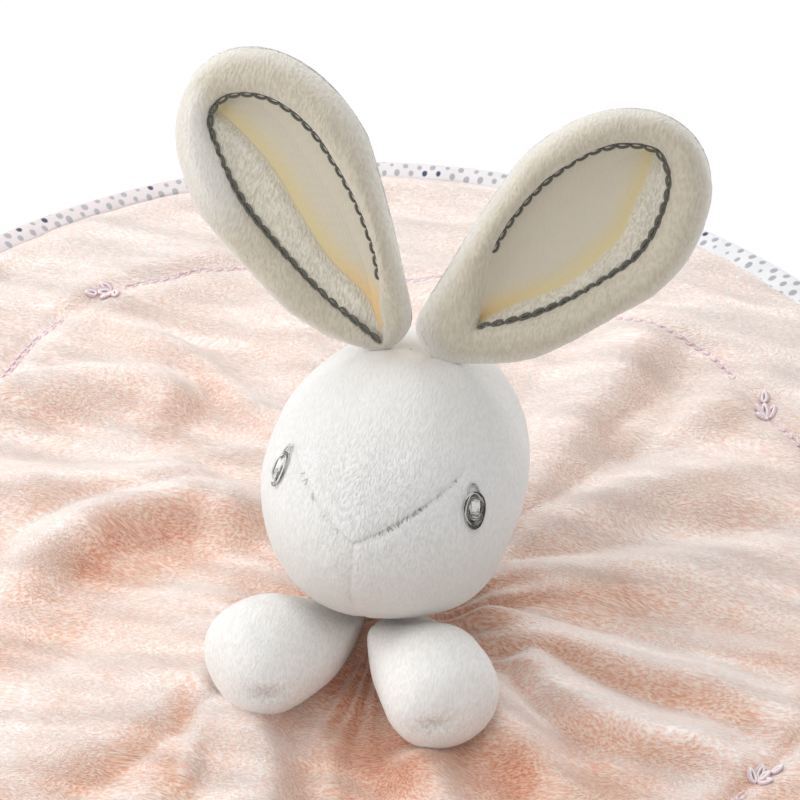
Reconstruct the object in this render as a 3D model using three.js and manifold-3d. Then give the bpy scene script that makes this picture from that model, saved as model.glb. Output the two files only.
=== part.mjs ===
// A comfort blanket: a round, folded cloth with a stuffed rabbit's head, ears and arms at its neck.
// Millimetres, +Z up. The face looks towards -Y and the origin is under the middle of the cloth.
import * as THREE from "three";
import { mergeVertices } from "three/addons/utils/BufferGeometryUtils.js";
import Module from "manifold-3d";

const wasm = await Module();
wasm.setup();

const TURN = 2 * Math.PI;
const QUARTER = TURN / 4;
const rad = THREE.MathUtils.degToRad;
const lerp = THREE.MathUtils.lerp;
const clamp = THREE.MathUtils.clamp;

// Driving dimensions of the cloth.
const BLANKET_DIAMETER = 350;
const BACK_THICKNESS = 1.4;
const TOP_THICKNESS = 2.4;
const HEM_THICKNESS = 1.3;
const BINDING_THICKNESS = 0.9;
const BINDING_WIDTH = 8;
const FOLD_HEIGHT = 9;
const SEAM_GAP = 0.35;

// The neck: where it stands on the cloth, its stuffed knot and the gathered stem that carries it.
const NECK_RIGHT = 16.3;
const NECK_FORWARD = 27.4;
const KNOT_RADIUS = 9.5;
const STEM_RADIUS = 5.6;
const STEM_FLARE = 1;
const STEM_HEIGHT = 8.5;
const STEM_FOOT = 1.8;
const THREAD_RADIUS = 0.7;

// The head, a long egg that points down to the muzzle, tipped back on the neck.
const HEAD_WIDTH = 67.5;
const HEAD_LENGTH = 90;
const HEAD_HEIGHT = 62.5;
const MUZZLE_SLANT = rad(26);
const HEAD_TIP_BACK = rad(25);
const NECK_SINK = 3.5;
const PLUSH_THICKNESS = 1.6;
const STUFFING_GAP = 2;
const SEAM_DIP = 0.5;
const SOCKET_CLEARANCE = 0.7;
const NECK_OPENING_RADIUS = 11;

// The forehead piece, a shield with its point on the nose.
const NOSE_POINT = rad(-9);
const GUSSET_HALF_ANGLE = rad(43.5);
const GUSSET_FULL_AT = rad(52);
const GUSSET_POWER = 2.3;

// The eyes, worked in thread.
const EYE_HEIGHT = 10;
const EYE_WIDTH = 7;
const EYE_THREAD = 0.5;
const EYE_TURN = rad(45.5);
const EYE_RISE = rad(6.5);

// The ears, long cups with a thick rolled rim.
const EAR_LENGTH = 86;
const EAR_HALF_WIDTH = 25.2;
const EAR_OPENING_HALF_WIDTH = 14.2;
const EAR_DEPTH = 10;
const EAR_PLACE = rad(15);
const EAR_LIFT = 1.7;
const EAR_HINGE_RISE = 2.2;
const EAR_SET = {
  left: { splay: rad(39), outwards: rad(22), forwards: rad(-10) },
  right: { splay: rad(33.5), outwards: rad(0), forwards: rad(7) },
};

// The arms, stuffed drops that lie on the cloth under the chin.
const ARM_START = 8.6;
const ARM_LENGTH = 45;
const ARM_RADIUS = 15;
const ARM_SPREAD = rad(35.3);
const ARM_COVER = 1.8;
const ARM_REST = 0.4;

const POINT_MERGE = 1e-4;

const blanketRadius = BLANKET_DIAMETER / 2;
const hemRadius = blanketRadius - BINDING_THICKNESS - SEAM_GAP;
const sheetBase = BACK_THICKNESS + SEAM_GAP;
const clothTop = sheetBase + TOP_THICKNESS;
const stemTop = clothTop + STEM_FLARE + STEM_HEIGHT;
const knotRise = stemTop + SEAM_GAP + Math.sqrt(KNOT_RADIUS ** 2 - STEM_RADIUS ** 2);
const neck = new THREE.Vector3(NECK_RIGHT, -NECK_FORWARD, knotRise);

const colours = {
  pink: [0xf0cdbd, 0.95],
  dotted: [0xd9d4d6, 0.9],
  white: [0xf3f1ee, 0.95],
  cream: [0xe9dfca, 0.8],
  fibre: [0xffffff, 1],
  thread: [0x4d4f52, 0.7],
};

function material(name) {
  const [color, roughness] = colours[name];
  return new THREE.MeshStandardMaterial({ color, roughness, metalness: 0, side: THREE.DoubleSide });
}

function signedVolume(geometry) {
  const at = geometry.getAttribute("position");
  const corner = [0, 1, 2].map(() => new THREE.Vector3());
  let volume = 0;
  for (let i = 0; i < geometry.index.count; i += 3) {
    corner.forEach((v, k) => v.fromBufferAttribute(at, geometry.index.getX(i + k)));
    volume += corner[0].dot(corner[1].clone().cross(corner[2])) / 6;
  }
  return volume;
}

// Turns every triangle round if the body's faces point inwards.
function facingOut(geometry) {
  if (signedVolume(geometry) < 0) {
    const order = geometry.index.array;
    for (let i = 0; i < order.length; i += 3) {
      const second = order[i + 1];
      order[i + 1] = order[i + 2];
      order[i + 2] = second;
    }
  }
  geometry.computeVertexNormals();
  return geometry;
}

// One body from triangles given corner by corner, without those that a pole or a seam line closes up.
function bodyOf(triangles) {
  const places = [];
  for (const corners of triangles) {
    const [a, b, c] = corners;
    const shortest = Math.min(a.distanceTo(b), b.distanceTo(c), c.distanceTo(a));
    if (shortest <= POINT_MERGE) continue;
    for (const p of corners) places.push(p.x, p.y, p.z);
  }
  const loose = new THREE.BufferGeometry();
  loose.setAttribute("position", new THREE.Float32BufferAttribute(places, 3));
  return facingOut(mergeVertices(loose, POINT_MERGE));
}

function addQuad(triangles, a, b, c, d) {
  triangles.push([a, b, c], [a, c, d]);
}

function gridPoints(columns, rows, wraps, pointAt) {
  const count = wraps ? columns : columns + 1;
  const grid = [];
  for (let i = 0; i < count; i++) {
    const column = [];
    for (let j = 0; j < rows; j++) column.push(pointAt(i / columns, j));
    grid.push(column);
  }
  if (wraps) grid.push(grid[0]);
  return grid;
}

// A closed skin round a column of rings, whose first and last rings are poles or seam lines.
function skinBody(columns, rows, pointAt) {
  const grid = gridPoints(columns, rows, true, pointAt);
  const triangles = [];
  for (let i = 0; i < columns; i++)
    for (let j = 0; j < rows - 1; j++)
      addQuad(triangles, grid[i][j], grid[i + 1][j], grid[i + 1][j + 1], grid[i][j + 1]);
  return bodyOf(triangles);
}

// A closed shell between an outer and an inner face, walled where the faces end apart from each other.
function shellBody(columns, rows, wraps, outerAt, innerAt) {
  const outer = gridPoints(columns, rows, wraps, outerAt);
  const inner = gridPoints(columns, rows, wraps, innerAt);
  const triangles = [];
  const last = rows - 1;
  const open = !closesAt(outer, last);
  for (let i = 0; i < columns; i++) {
    for (let j = 0; j < last; j++) {
      addQuad(triangles, outer[i][j], outer[i + 1][j], outer[i + 1][j + 1], outer[i][j + 1]);
      addQuad(triangles, inner[i][j], inner[i][j + 1], inner[i + 1][j + 1], inner[i + 1][j]);
    }
    addQuad(triangles, outer[i + 1][0], outer[i][0], inner[i][0], inner[i + 1][0]);
    if (open) addQuad(triangles, outer[i][last], outer[i + 1][last], inner[i + 1][last], inner[i][last]);
  }
  if (!wraps)
    for (let j = 0; j < last; j++) {
      addQuad(triangles, outer[0][j], outer[0][j + 1], inner[0][j + 1], inner[0][j]);
      addQuad(triangles, outer[columns][j + 1], outer[columns][j], inner[columns][j], inner[columns][j + 1]);
    }
  return bodyOf(triangles);
}

// True where a row folds onto itself, so that each point has its mirror column's point in the same place.
function closesAt(grid, row) {
  const columns = grid.length - 1;
  if (grid[0] !== grid[columns]) return false;
  return grid.every((column, i) => column[row].distanceTo(grid[columns - i][row]) < POINT_MERGE);
}

function solidOf(geometry) {
  const bare = geometry.clone();
  bare.deleteAttribute("normal");
  bare.deleteAttribute("uv");
  const merged = mergeVertices(bare, POINT_MERGE);
  const vertProperties = merged.getAttribute("position").array;
  const triVerts = new Uint32Array(merged.index.array);
  return new wasm.Manifold(new wasm.Mesh({ numProp: 3, vertProperties, triVerts }));
}

function geometryOf(solid) {
  const { vertProperties, triVerts } = solid.getMesh();
  const geometry = new THREE.BufferGeometry();
  geometry.setAttribute("position", new THREE.BufferAttribute(vertProperties, 3));
  geometry.setIndex(new THREE.BufferAttribute(triVerts, 1));
  geometry.computeVertexNormals();
  return geometry;
}

function piece(name, geometry, colour) {
  const mesh = new THREE.Mesh(geometry, material(colour));
  mesh.name = name;
  return mesh;
}

// A ring or disc turned about Z from a profile of radius and height.
function turned(profile, segments) {
  const points = profile.map(([radius, height]) => new THREE.Vector2(radius, height));
  const geometry = new THREE.LatheGeometry(points, segments).rotateX(QUARTER);
  geometry.deleteAttribute("normal");
  geometry.deleteAttribute("uv");
  return facingOut(mergeVertices(geometry, POINT_MERGE));
}

// Folds of the cloth, each a ridge that runs out from the neck, in their order round it. The angles of its
// crest, at the neck and at the edge, are counted from +X. The rest are shares: of the fold height, of a turn
// (from the crest to its foot) and of the way out.
const foldShares = [
  { from: rad(-168), to: rad(-132), height: 0.9, foot: 0.034, start: 0.36, end: 0.86 },
  { from: rad(-130), to: rad(-116), height: 0.5, foot: 0.024, start: 0.42, end: 0.82 },
  { from: rad(-100), to: rad(-92), height: 0.75, foot: 0.026, start: 0.4, end: 0.8 },
  { from: rad(-66), to: rad(-60), height: 0.7, foot: 0.03, start: 0.4, end: 0.8 },
  { from: rad(-36), to: rad(-42), height: 0.6, foot: 0.026, start: 0.4, end: 0.85 },
  { from: rad(4), to: rad(-26), height: 0.8, foot: 0.022, start: 0.34, end: 0.85 },
  { from: rad(26), to: rad(-4), height: 0.9, foot: 0.024, start: 0.16, end: 0.88 },
  { from: rad(47), to: rad(28), height: 0.75, foot: 0.02, start: 0.14, end: 0.86 },
  { from: rad(62), to: rad(42), height: 0.65, foot: 0.018, start: 0.24, end: 0.9 },
  { from: rad(67), to: rad(57), height: 0.55, foot: 0.018, start: 0.5, end: 0.93 },
  { from: rad(74), to: rad(77), height: 1.0, foot: 0.026, start: 0.3, end: 0.93 },
  { from: rad(88), to: rad(99), height: 0.55, foot: 0.026, start: 0.42, end: 0.9 },
  { from: rad(95), to: rad(121), height: 0.45, foot: 0.022, start: 0.4, end: 0.9 },
  { from: rad(101), to: rad(143), height: 0.7, foot: 0.024, start: 0.4, end: 0.92 },
  { from: rad(108), to: rad(161), height: 0.55, foot: 0.022, start: 0.42, end: 0.86 },
  { from: rad(118), to: rad(181), height: 1.0, foot: 0.03, start: 0.36, end: 0.86 },
  { from: rad(140), to: rad(205), height: 1.0, foot: 0.034, start: 0.22, end: 0.7 },
];
const foldRiseShare = 0.12;
const foldFadeShare = 0.22;
const foldRoomShare = 0.45;
const columnsPerFold = 3;
const clothColumns = columnsPerFold * foldShares.length;
const clothRowShares = [0.12, 0.24, 0.38, 0.54, 0.7, 0.85];

// The way from the neck's axis to the cloth's cut edge in one direction.
function reachTo(turn, edgeRadius) {
  const along = NECK_RIGHT * Math.cos(turn) - NECK_FORWARD * Math.sin(turn);
  const offset = NECK_RIGHT ** 2 + NECK_FORWARD ** 2;
  return Math.sqrt(edgeRadius ** 2 - offset + along ** 2) - along;
}

// How high a fold's crest lifts the cloth at a share of the way out.
function crestLift(fold, share) {
  const rise = THREE.MathUtils.smoothstep(share, fold.start, fold.start + foldRiseShare);
  const fade = 1 - THREE.MathUtils.smoothstep(share, fold.end - foldFadeShare, fold.end);
  return FOLD_HEIGHT * fold.height * rise * fade;
}

// The cloth's columns follow the folds: one on each crest, one at each of its feet.
function clothColumn(index, share) {
  const count = foldShares.length;
  const at = Math.floor(index / columnsPerFold) % count;
  const next = (at + 1) % count;
  const fold = foldShares[at];
  const after = foldShares[next];
  const crest = lerp(fold.from, fold.to, share);
  const nextCrest = lerp(after.from, after.to, share) + (next === 0 ? TURN : 0);
  const room = foldRoomShare * (nextCrest - crest);
  const turns = [
    crest,
    crest + Math.min(room, fold.foot * TURN),
    nextCrest - Math.min(room, after.foot * TURN),
  ];
  const place = index % columnsPerFold;
  return { turn: turns[place], lift: place === 0 ? crestLift(fold, share) : 0 };
}

// The rows of one column of the cloth, from the gathered stem out to the hem.
function clothRows(index) {
  const foot = STEM_RADIUS + STEM_FLARE;
  const half = TOP_THICKNESS / 2;
  const { turn } = clothColumn(index, 0);
  const rows = [
    { turn, radius: STEM_RADIUS, inner: STEM_RADIUS - half, foot: stemTop - half, top: stemTop },
    { turn, radius: foot, inner: foot - half, foot: sheetBase + STEM_FLARE, top: clothTop + STEM_FLARE },
    { turn, radius: foot + STEM_FOOT, inner: foot + STEM_FOOT, foot: sheetBase, top: clothTop },
  ];
  for (const share of clothRowShares) {
    const column = clothColumn(index, share);
    const hemLine = reachTo(column.turn, hemRadius) - BINDING_WIDTH;
    const radius = lerp(foot + STEM_FOOT, hemLine, share);
    const rise = { foot: sheetBase + column.lift, top: clothTop + column.lift };
    rows.push({ turn: column.turn, radius, inner: radius, ...rise });
  }
  const hem = clothColumn(index, 1).turn;
  for (const inwards of [BINDING_WIDTH, 0]) {
    const radius = reachTo(hem, hemRadius) - inwards;
    rows.push({ turn: hem, radius, inner: radius, foot: sheetBase, top: sheetBase + HEM_THICKNESS });
  }
  return rows;
}

function aboutNeck(turn, radius, height) {
  return new THREE.Vector3(neck.x + radius * Math.cos(turn), neck.y + radius * Math.sin(turn), height);
}

// The velour top: gathered to a short stem at the neck, with soft ridges running out from it.
function blanketTop() {
  const columns = [];
  for (let i = 0; i <= clothColumns; i++) columns.push(clothRows(i % clothColumns));
  const rowAt = (share, j) => columns[Math.round(share * clothColumns)][j];
  const topAt = (share, j) => aboutNeck(rowAt(share, j).turn, rowAt(share, j).radius, rowAt(share, j).top);
  const footAt = (share, j) => aboutNeck(rowAt(share, j).turn, rowAt(share, j).inner, rowAt(share, j).foot);
  return shellBody(clothColumns, columns[0].length, true, topAt, footAt);
}

const edgeSegments = 72;

// The jersey back lies flat under the folds.
function blanketBack() {
  const profile = [
    [0, 0],
    [hemRadius, 0],
    [hemRadius, BACK_THICKNESS],
    [0, BACK_THICKNESS],
  ];
  return turned(profile, edgeSegments);
}

// The binding laps over the top's hem and stands down to the table outside both layers.
function edgeBinding() {
  const inside = blanketRadius - BINDING_THICKNESS;
  const lapFoot = sheetBase + HEM_THICKNESS + SEAM_GAP;
  const lapTop = lapFoot + BINDING_THICKNESS;
  const profile = [
    [inside, 0],
    [blanketRadius, 0],
    [blanketRadius, lapFoot],
    [blanketRadius - BINDING_THICKNESS / 2, lapTop],
    [blanketRadius - BINDING_WIDTH, lapTop],
    [blanketRadius - BINDING_WIDTH, lapFoot],
    [inside, lapFoot],
    [inside, 0],
  ];
  return turned(profile, edgeSegments);
}

// The thread that ties the gathers.
function neckThread() {
  const ringRadius = STEM_RADIUS + STEM_FLARE + THREAD_RADIUS;
  const sides = 8;
  const segments = 28;
  const ring = new THREE.TorusGeometry(ringRadius, THREAD_RADIUS, sides, segments);
  return ring.translate(neck.x, neck.y, clothTop + STEM_HEIGHT / 2 + THREAD_RADIUS);
}

// A direction from the head's middle, by its turn from the face and its rise above the level of the ears.
function towards(turn, rise) {
  const level = Math.cos(rise);
  return new THREE.Vector3(level * Math.sin(turn), -level * Math.cos(turn), Math.sin(rise));
}

// The head's surface: an egg whose long way points down to the muzzle, moved out or in by an offset.
function headPoint(way, offset) {
  const along = way.y * Math.cos(MUZZLE_SLANT) + way.z * Math.sin(MUZZLE_SLANT);
  const up = way.z * Math.cos(MUZZLE_SLANT) - way.y * Math.sin(MUZZLE_SLANT);
  const egg = Math.hypot((2 * way.x) / HEAD_WIDTH, (2 * along) / HEAD_LENGTH, (2 * up) / HEAD_HEIGHT);
  return way.clone().multiplyScalar(1 / egg + offset);
}

const neckToHead = headPoint(new THREE.Vector3(0, 0, -1), 0).length() - NECK_SINK;
const seamAngle = SEAM_GAP / HEAD_WIDTH;
const neckEdge = -Math.acos((2 * NECK_OPENING_RADIUS) / HEAD_WIDTH);
const noseGap = 4 * seamAngle;
const browGap = 4 * seamAngle;
const crownGap = 5 * seamAngle;
const panelShares = [0, 0.035, 0.12, 0.26, 0.42, 0.58, 0.74, 0.88, 0.965, 1];

// A panel's outer face is full in its middle and dips to its seams.
function panelLift(a, b) {
  const edge = Math.min(a, 1 - a, b, 1 - b);
  return -SEAM_DIP * (1 - clamp(edge / panelShares[2], 0, 1)) ** 2;
}

function panelBody(wayAt) {
  const last = panelShares.length - 1;
  const at = (share, j) => [panelShares[Math.round(share * last)], panelShares[j]];
  const outerAt = (share, j) => headPoint(wayAt(...at(share, j)), panelLift(...at(share, j)));
  const innerAt = (share, j) => headPoint(wayAt(...at(share, j)), -PLUSH_THICKNESS);
  return shellBody(last, panelShares.length, false, outerAt, innerAt);
}

// Half the forehead piece's width, as a side angle, at an angle over the head from the face.
function gussetHalf(over) {
  const way = clamp((over - NOSE_POINT) / GUSSET_FULL_AT, 0, 1);
  return GUSSET_HALF_ANGLE * (1 - (1 - way) ** GUSSET_POWER);
}

function overHead(side, over) {
  const level = Math.cos(side);
  return new THREE.Vector3(Math.sin(side), -level * Math.cos(over), level * Math.sin(over));
}

// The rise of the seam beside the forehead piece, found by halving, at a turn from the face.
function seamRise(turn) {
  let low = NOSE_POINT;
  let high = QUARTER;
  const steps = 40;
  for (let step = 0; step < steps; step++) {
    const over = (low + high) / 2;
    const way = overHead(gussetHalf(over), over);
    if (Math.atan2(way.x, -way.y) < turn) low = over;
    else high = over;
  }
  return Math.asin(overHead(gussetHalf(low), low).z);
}

function foreheadGusset() {
  return panelBody((a, b) => {
    const over = lerp(NOSE_POINT + noseGap, QUARTER - seamAngle, b);
    const half = gussetHalf(over) - seamAngle;
    return overHead(lerp(-half, half, a), over);
  });
}

function facePanel(side) {
  return panelBody((a, b) => {
    const turn = lerp(seamAngle, QUARTER - seamAngle, a);
    const rise = lerp(neckEdge, seamRise(turn) - browGap, b);
    return towards(side * turn, rise);
  });
}

function backPanel(side) {
  const crown = QUARTER - crownGap;
  return panelBody((a, b) => {
    const rise = lerp(neckEdge, crown, b);
    const gap = Math.min(QUARTER / 2, seamAngle / Math.cos(rise));
    return towards(side * lerp(QUARTER + gap, 2 * QUARTER - gap, a), rise);
  });
}

const knotDetail = 3;

// The head's stuffing, cut by the neck's knot and open below it.
function headStuffing() {
  const inset = -(PLUSH_THICKNESS + STUFFING_GAP);
  const columns = 28;
  const rings = 15;
  const egg = skinBody(columns, rings, (share, j) => {
    const rise = lerp(-QUARTER, QUARTER, j / (rings - 1));
    return headPoint(towards(share * TURN, rise), inset);
  });
  const knot = new THREE.IcosahedronGeometry(KNOT_RADIUS + SOCKET_CLEARANCE, knotDetail);
  knot.translate(0, 0, -neckToHead);
  const boreLength = HEAD_HEIGHT / 2;
  const bore = new THREE.CylinderGeometry(NECK_OPENING_RADIUS, NECK_OPENING_RADIUS, boreLength, columns);
  bore.rotateX(QUARTER).translate(0, 0, -neckToHead - boreLength / 2);
  return geometryOf(solidOf(egg).subtract(solidOf(knot)).subtract(solidOf(bore)));
}

const eyeRingShares = [0, 0.62, 0.8, 1];
const eyeLiftShares = [0.5, 0.5, 1, 0.6];

// A stitched oval that lies on the face panel, raised round its rim.
function eye(side) {
  const reach = headPoint(towards(EYE_TURN, EYE_RISE), 0).length();
  const wayAt = (share, ring) => {
    const rise = EYE_RISE + (ring * EYE_HEIGHT * Math.sin(share * TURN)) / (2 * reach);
    const turn = EYE_TURN + (ring * EYE_WIDTH * Math.cos(share * TURN)) / (2 * reach * Math.cos(rise));
    return towards(side * turn, rise);
  };
  const columns = 18;
  const rings = eyeRingShares.length;
  return skinBody(columns, 2 * rings, (share, j) => {
    const ring = Math.min(j, 2 * rings - 1 - j);
    const lift = j < rings ? EYE_THREAD * eyeLiftShares[ring] : 0;
    return headPoint(wayAt(share, eyeRingShares[ring]), SEAM_GAP + lift);
  });
}

const earWidestShare = 0.6;
const earTipShare = 0.41;
const earRootShare = 0.07;
const earFootShare = 0.04;
const tipPower = 2.2;
const rootPower = 0.45;

// Half the ear's outline width at a share of its length: a leaf, pinched at the root and round at the tip.
function earHalf(share) {
  const tip = (share - earWidestShare) / earTipShare;
  if (tip > 0) return EAR_HALF_WIDTH * Math.sqrt(Math.max(0, 1 - tip ** tipPower));
  const root = Math.sqrt(clamp(share / earRootShare, 0, 1));
  return EAR_HALF_WIDTH * root * ((share + earFootShare) / (earWidestShare + earFootShare)) ** rootPower;
}

const openingStartShare = 0.04;
const openingTipShare = 0.27;
const openingPower = 0.6;

function openingHalf(share) {
  const tip = (share - earWidestShare) / openingTipShare;
  if (tip > 0) return EAR_OPENING_HALF_WIDTH * Math.sqrt(Math.max(0, 1 - tip ** tipPower));
  const way = Math.max(0, share - openingStartShare) / (earWidestShare - openingStartShare);
  return EAR_OPENING_HALF_WIDTH * way ** openingPower;
}

const cupFullShare = 0.34;
const cupEasesShare = 0.7;
const cupRootShare = 0.2;
const cupTipShare = 0.8;
const cupMiddleShare = 0.26;

// The cup is shallow at the root, full from a third of the way up, and a little less at the tip.
function cupShare(share) {
  const full = THREE.MathUtils.smoothstep(share, 0, cupFullShare);
  const tip = THREE.MathUtils.smoothstep(share, cupEasesShare, 1);
  return lerp(cupRootShare, 1, full) * lerp(1, cupTipShare, tip);
}

const slantEndsShare = 0.25;

// A point of the ear: level 0 is the opening's edge, 1 the rim and 2 the middle line of the back,
// -1 the middle line of the opening; depth is a share of the cup. The root is cut on a slant, to sit along
// the head of an ear that leans to its own side.
function earPoint(side, slant, share, level, depth) {
  const way = (1 - Math.cos(share * TURN)) / 2;
  const flank = Math.sign(Math.sin(share * TURN));
  const rimWay = way * (earWidestShare + earTipShare);
  const openWay = lerp(openingStartShare, earWidestShare + openingTipShare, way);
  const rim = new THREE.Vector2(flank * earHalf(rimWay), rimWay);
  const opening = new THREE.Vector2(flank * openingHalf(openWay), openWay);
  const spine = new THREE.Vector2(0, openWay);
  const at = new THREE.Vector2();
  if (level < 0) at.lerpVectors(spine, opening, 1 + level);
  else if (level <= 1) at.lerpVectors(opening, rim, level);
  else at.lerpVectors(rim, spine, level - 1);
  const cup = (depth - cupMiddleShare) * EAR_DEPTH * cupShare(at.y);
  const sewn = 1 - THREE.MathUtils.smoothstep(at.y, 0, slantEndsShare);
  const up = at.y * EAR_LENGTH + at.x * Math.tan(slant) * sewn;
  return new THREE.Vector3(side * at.x, cup, up - EAR_HINGE_RISE);
}

const earColumns = 28;

// Profiles of the ear's layers across the cup, each a list of level and depth shares.
const earOuterShares = [
  [0, 0.1],
  [0.18, -0.32],
  [0.5, -0.48],
  [0.82, -0.3],
  [1, 0.06],
  [1.1, 0.5],
  [1.35, 0.8],
  [1.68, 0.96],
  [2, 1],
];
const earInnerShares = [
  [0.06, 0.24],
  [0.26, -0.14],
  [0.5, -0.28],
  [0.74, -0.15],
  [0.88, 0.08],
  [1.17, 0.36],
  [1.38, 0.62],
  [1.68, 0.78],
  [2, 0.82],
];
const earLiningShares = [
  [-1, 0.27],
  [-0.5, 0.25],
  [-0.05, 0.12],
  [-0.05, 0.22],
  [-0.5, 0.35],
  [-1, 0.38],
];
const earWaddingShares = [
  [-1, 0.46],
  [-0.5, 0.44],
  [-0.05, 0.35],
  [0.12, 0.3],
  [0.34, -0.02],
  [0.5, -0.2],
  [0.7, -0.06],
  [0.8, 0.1],
  [1.24, 0.29],
  [1.42, 0.53],
  [1.7, 0.7],
  [2, 0.75],
];

function earOuter(side, slant) {
  const outerAt = (share, j) => earPoint(side, slant, share, ...earOuterShares[j]);
  const innerAt = (share, j) => earPoint(side, slant, share, ...earInnerShares[j]);
  return shellBody(earColumns, earOuterShares.length, true, outerAt, innerAt);
}

function earLayer(side, slant, profile) {
  return skinBody(earColumns, profile.length, (share, j) => earPoint(side, slant, share, ...profile[j]));
}

function ear(side, word) {
  const group = new THREE.Group();
  const { splay, outwards, forwards } = EAR_SET[word];
  const slant = splay - EAR_PLACE;
  group.add(piece(`ear_${word}_outer`, earOuter(side, slant), "white"));
  group.add(piece(`ear_${word}_lining`, earLayer(side, slant, earLiningShares), "cream"));
  group.add(piece(`ear_${word}_wadding`, earLayer(side, slant, earWaddingShares), "fibre"));
  const seat = headPoint(overHead(EAR_PLACE, QUARTER), EAR_LIFT);
  group.position.set(side * seat.x, seat.y, seat.z);
  group.rotation.set(forwards, side * splay, side * outwards);
  return group;
}

// Shares of the arm's radius along its length, and how round its section is there.
const armShares = [
  [0, 0.2],
  [0.04, 0.34],
  [0.14, 0.52],
  [0.28, 0.72],
  [0.44, 0.88],
  [0.6, 0.98],
  [0.74, 1],
  [0.86, 0.9],
  [0.94, 0.68],
  [0.985, 0.36],
  [1, 0],
];
const armFlatShare = 0.62;
const armRoundShare = 0.55;
const armWidestShare = 0.74;
const armTipShare = 0.5;

// A point of the arm's surface, moved inwards by an inset. The arm runs along +X and lies on its underside,
// flatter near the neck and round at the tip.
function armPoint(share, j, inset) {
  const [along, swelling] = armShares[j];
  const round = lerp(armFlatShare, 1, THREE.MathUtils.smoothstep(along, 0, armRoundShare));
  const radius = Math.max(0, ARM_RADIUS * swelling - inset);
  const tipInset = inset * THREE.MathUtils.smoothstep(along, armTipShare, 1);
  const middle = ARM_RADIUS * (along < armWidestShare ? swelling * round : 1) + ARM_REST;
  const across = radius * Math.cos(share * TURN);
  const up = radius * round * Math.sin(share * TURN);
  return new THREE.Vector3(along * ARM_LENGTH - tipInset, across, middle + up);
}

function armCover() {
  const columns = 24;
  const outerAt = (share, j) => armPoint(share, j, 0);
  const innerAt = (share, j) => armPoint(share, j, ARM_COVER);
  return shellBody(columns, armShares.length, true, outerAt, innerAt);
}

function armStuffing() {
  const columns = 20;
  const inset = ARM_COVER + SEAM_GAP;
  return skinBody(columns, armShares.length - 1, (share, j) => {
    return j === 0 ? armPoint(share, 1, ARM_RADIUS) : armPoint(share, j + 1, inset);
  });
}

function arm(side, word) {
  const group = new THREE.Group();
  group.add(piece(`arm_${word}_cover`, armCover(), "white"));
  group.add(piece(`arm_${word}_stuffing`, armStuffing(), "fibre"));
  const way = -QUARTER + side * ARM_SPREAD;
  group.position.set(neck.x + ARM_START * Math.cos(way), neck.y + ARM_START * Math.sin(way), clothTop);
  group.rotation.z = way;
  return group;
}

const blanket = new THREE.Group();
blanket.add(piece("blanket_back", blanketBack(), "dotted"));
blanket.add(piece("blanket_top", blanketTop(), "pink"));
blanket.add(piece("edge_binding", edgeBinding(), "dotted"));
blanket.add(piece("neck_thread", neckThread(), "thread"));

const head = new THREE.Group();
head.add(piece("head_stuffing", headStuffing(), "fibre"));
head.add(piece("forehead_gusset", foreheadGusset(), "white"));

const comforter = new THREE.Group();
comforter.add(blanket);

for (const [side, word] of [
  [-1, "right"],
  [1, "left"],
]) {
  head.add(piece(`face_${word}`, facePanel(side), "white"));
  head.add(piece(`head_back_${word}`, backPanel(side), "white"));
  head.add(piece(`eye_${word}`, eye(side), "thread"));
  head.add(ear(side, word));
  comforter.add(arm(side, word));
}

const neckGroup = new THREE.Group();
neckGroup.position.copy(neck);
neckGroup.rotation.x = -HEAD_TIP_BACK;
neckGroup.add(piece("neck_knot", new THREE.IcosahedronGeometry(KNOT_RADIUS, knotDetail), "white"));
head.position.z = neckToHead;
neckGroup.add(head);
comforter.add(neckGroup);

export default comforter;
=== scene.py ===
# %% [markdown]
# # A comfort blanket, dressed for its portrait
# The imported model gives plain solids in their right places. This notebook gives each of them its look: brushed
# velour, short white plush, printed jersey and thread. Blender could sculpt such soft things by hand, but here
# every piece is a formula on a grid, because a formula can be read, changed and run again with the same result.

import bmesh
import bpy
import numpy as np
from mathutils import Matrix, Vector


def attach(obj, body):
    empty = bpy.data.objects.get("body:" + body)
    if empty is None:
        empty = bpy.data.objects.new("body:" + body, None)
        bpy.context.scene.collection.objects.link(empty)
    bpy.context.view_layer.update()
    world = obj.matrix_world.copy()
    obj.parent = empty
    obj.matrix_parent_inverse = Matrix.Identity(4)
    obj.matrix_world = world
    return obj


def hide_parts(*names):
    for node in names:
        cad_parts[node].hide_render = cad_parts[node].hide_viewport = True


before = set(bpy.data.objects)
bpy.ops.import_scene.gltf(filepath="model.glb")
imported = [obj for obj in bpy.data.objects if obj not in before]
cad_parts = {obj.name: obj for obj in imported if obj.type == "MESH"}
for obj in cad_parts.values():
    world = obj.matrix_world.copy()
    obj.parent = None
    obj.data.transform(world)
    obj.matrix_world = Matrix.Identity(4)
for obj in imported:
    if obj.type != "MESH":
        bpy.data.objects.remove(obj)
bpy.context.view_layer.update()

# %% [markdown]
# ## A few small helpers
# Lengths below are in millimetres, as a maker would write them, and become metres when a mesh is made. Soft cloth
# has no hard corners, so most steps are eased with one cubic, and most outlines are one smooth curve through a
# few measured stops. Stuffing is never quite even, so a lattice of fixed random numbers adds lumps. Blender's own
# noise could do that too, but it would have to be asked point by point.

# %% Ease, curve and lumps
MM = 0.001
TURN = 2 * np.pi
QUARTER = np.pi / 2
SIDES = ((1, "left"), (-1, "right"))  # the toy's own sides; its left is +X


def ease(value, low, high):
    """0 below low and 1 above high, with 3t2 - 2t3 between, where t is the way from low to high."""
    way = np.clip((value - low) / (high - low), 0, 1)
    return way * way * (3 - 2 * way)


def mix(a, b, way):
    """a at way 0 and b at way 1, in a straight line."""
    return a + (b - a) * way


def unit(vectors):
    """The same directions, each one long."""
    return vectors / np.maximum(np.linalg.norm(vectors, axis=-1), 1e-9)[..., None]


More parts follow.
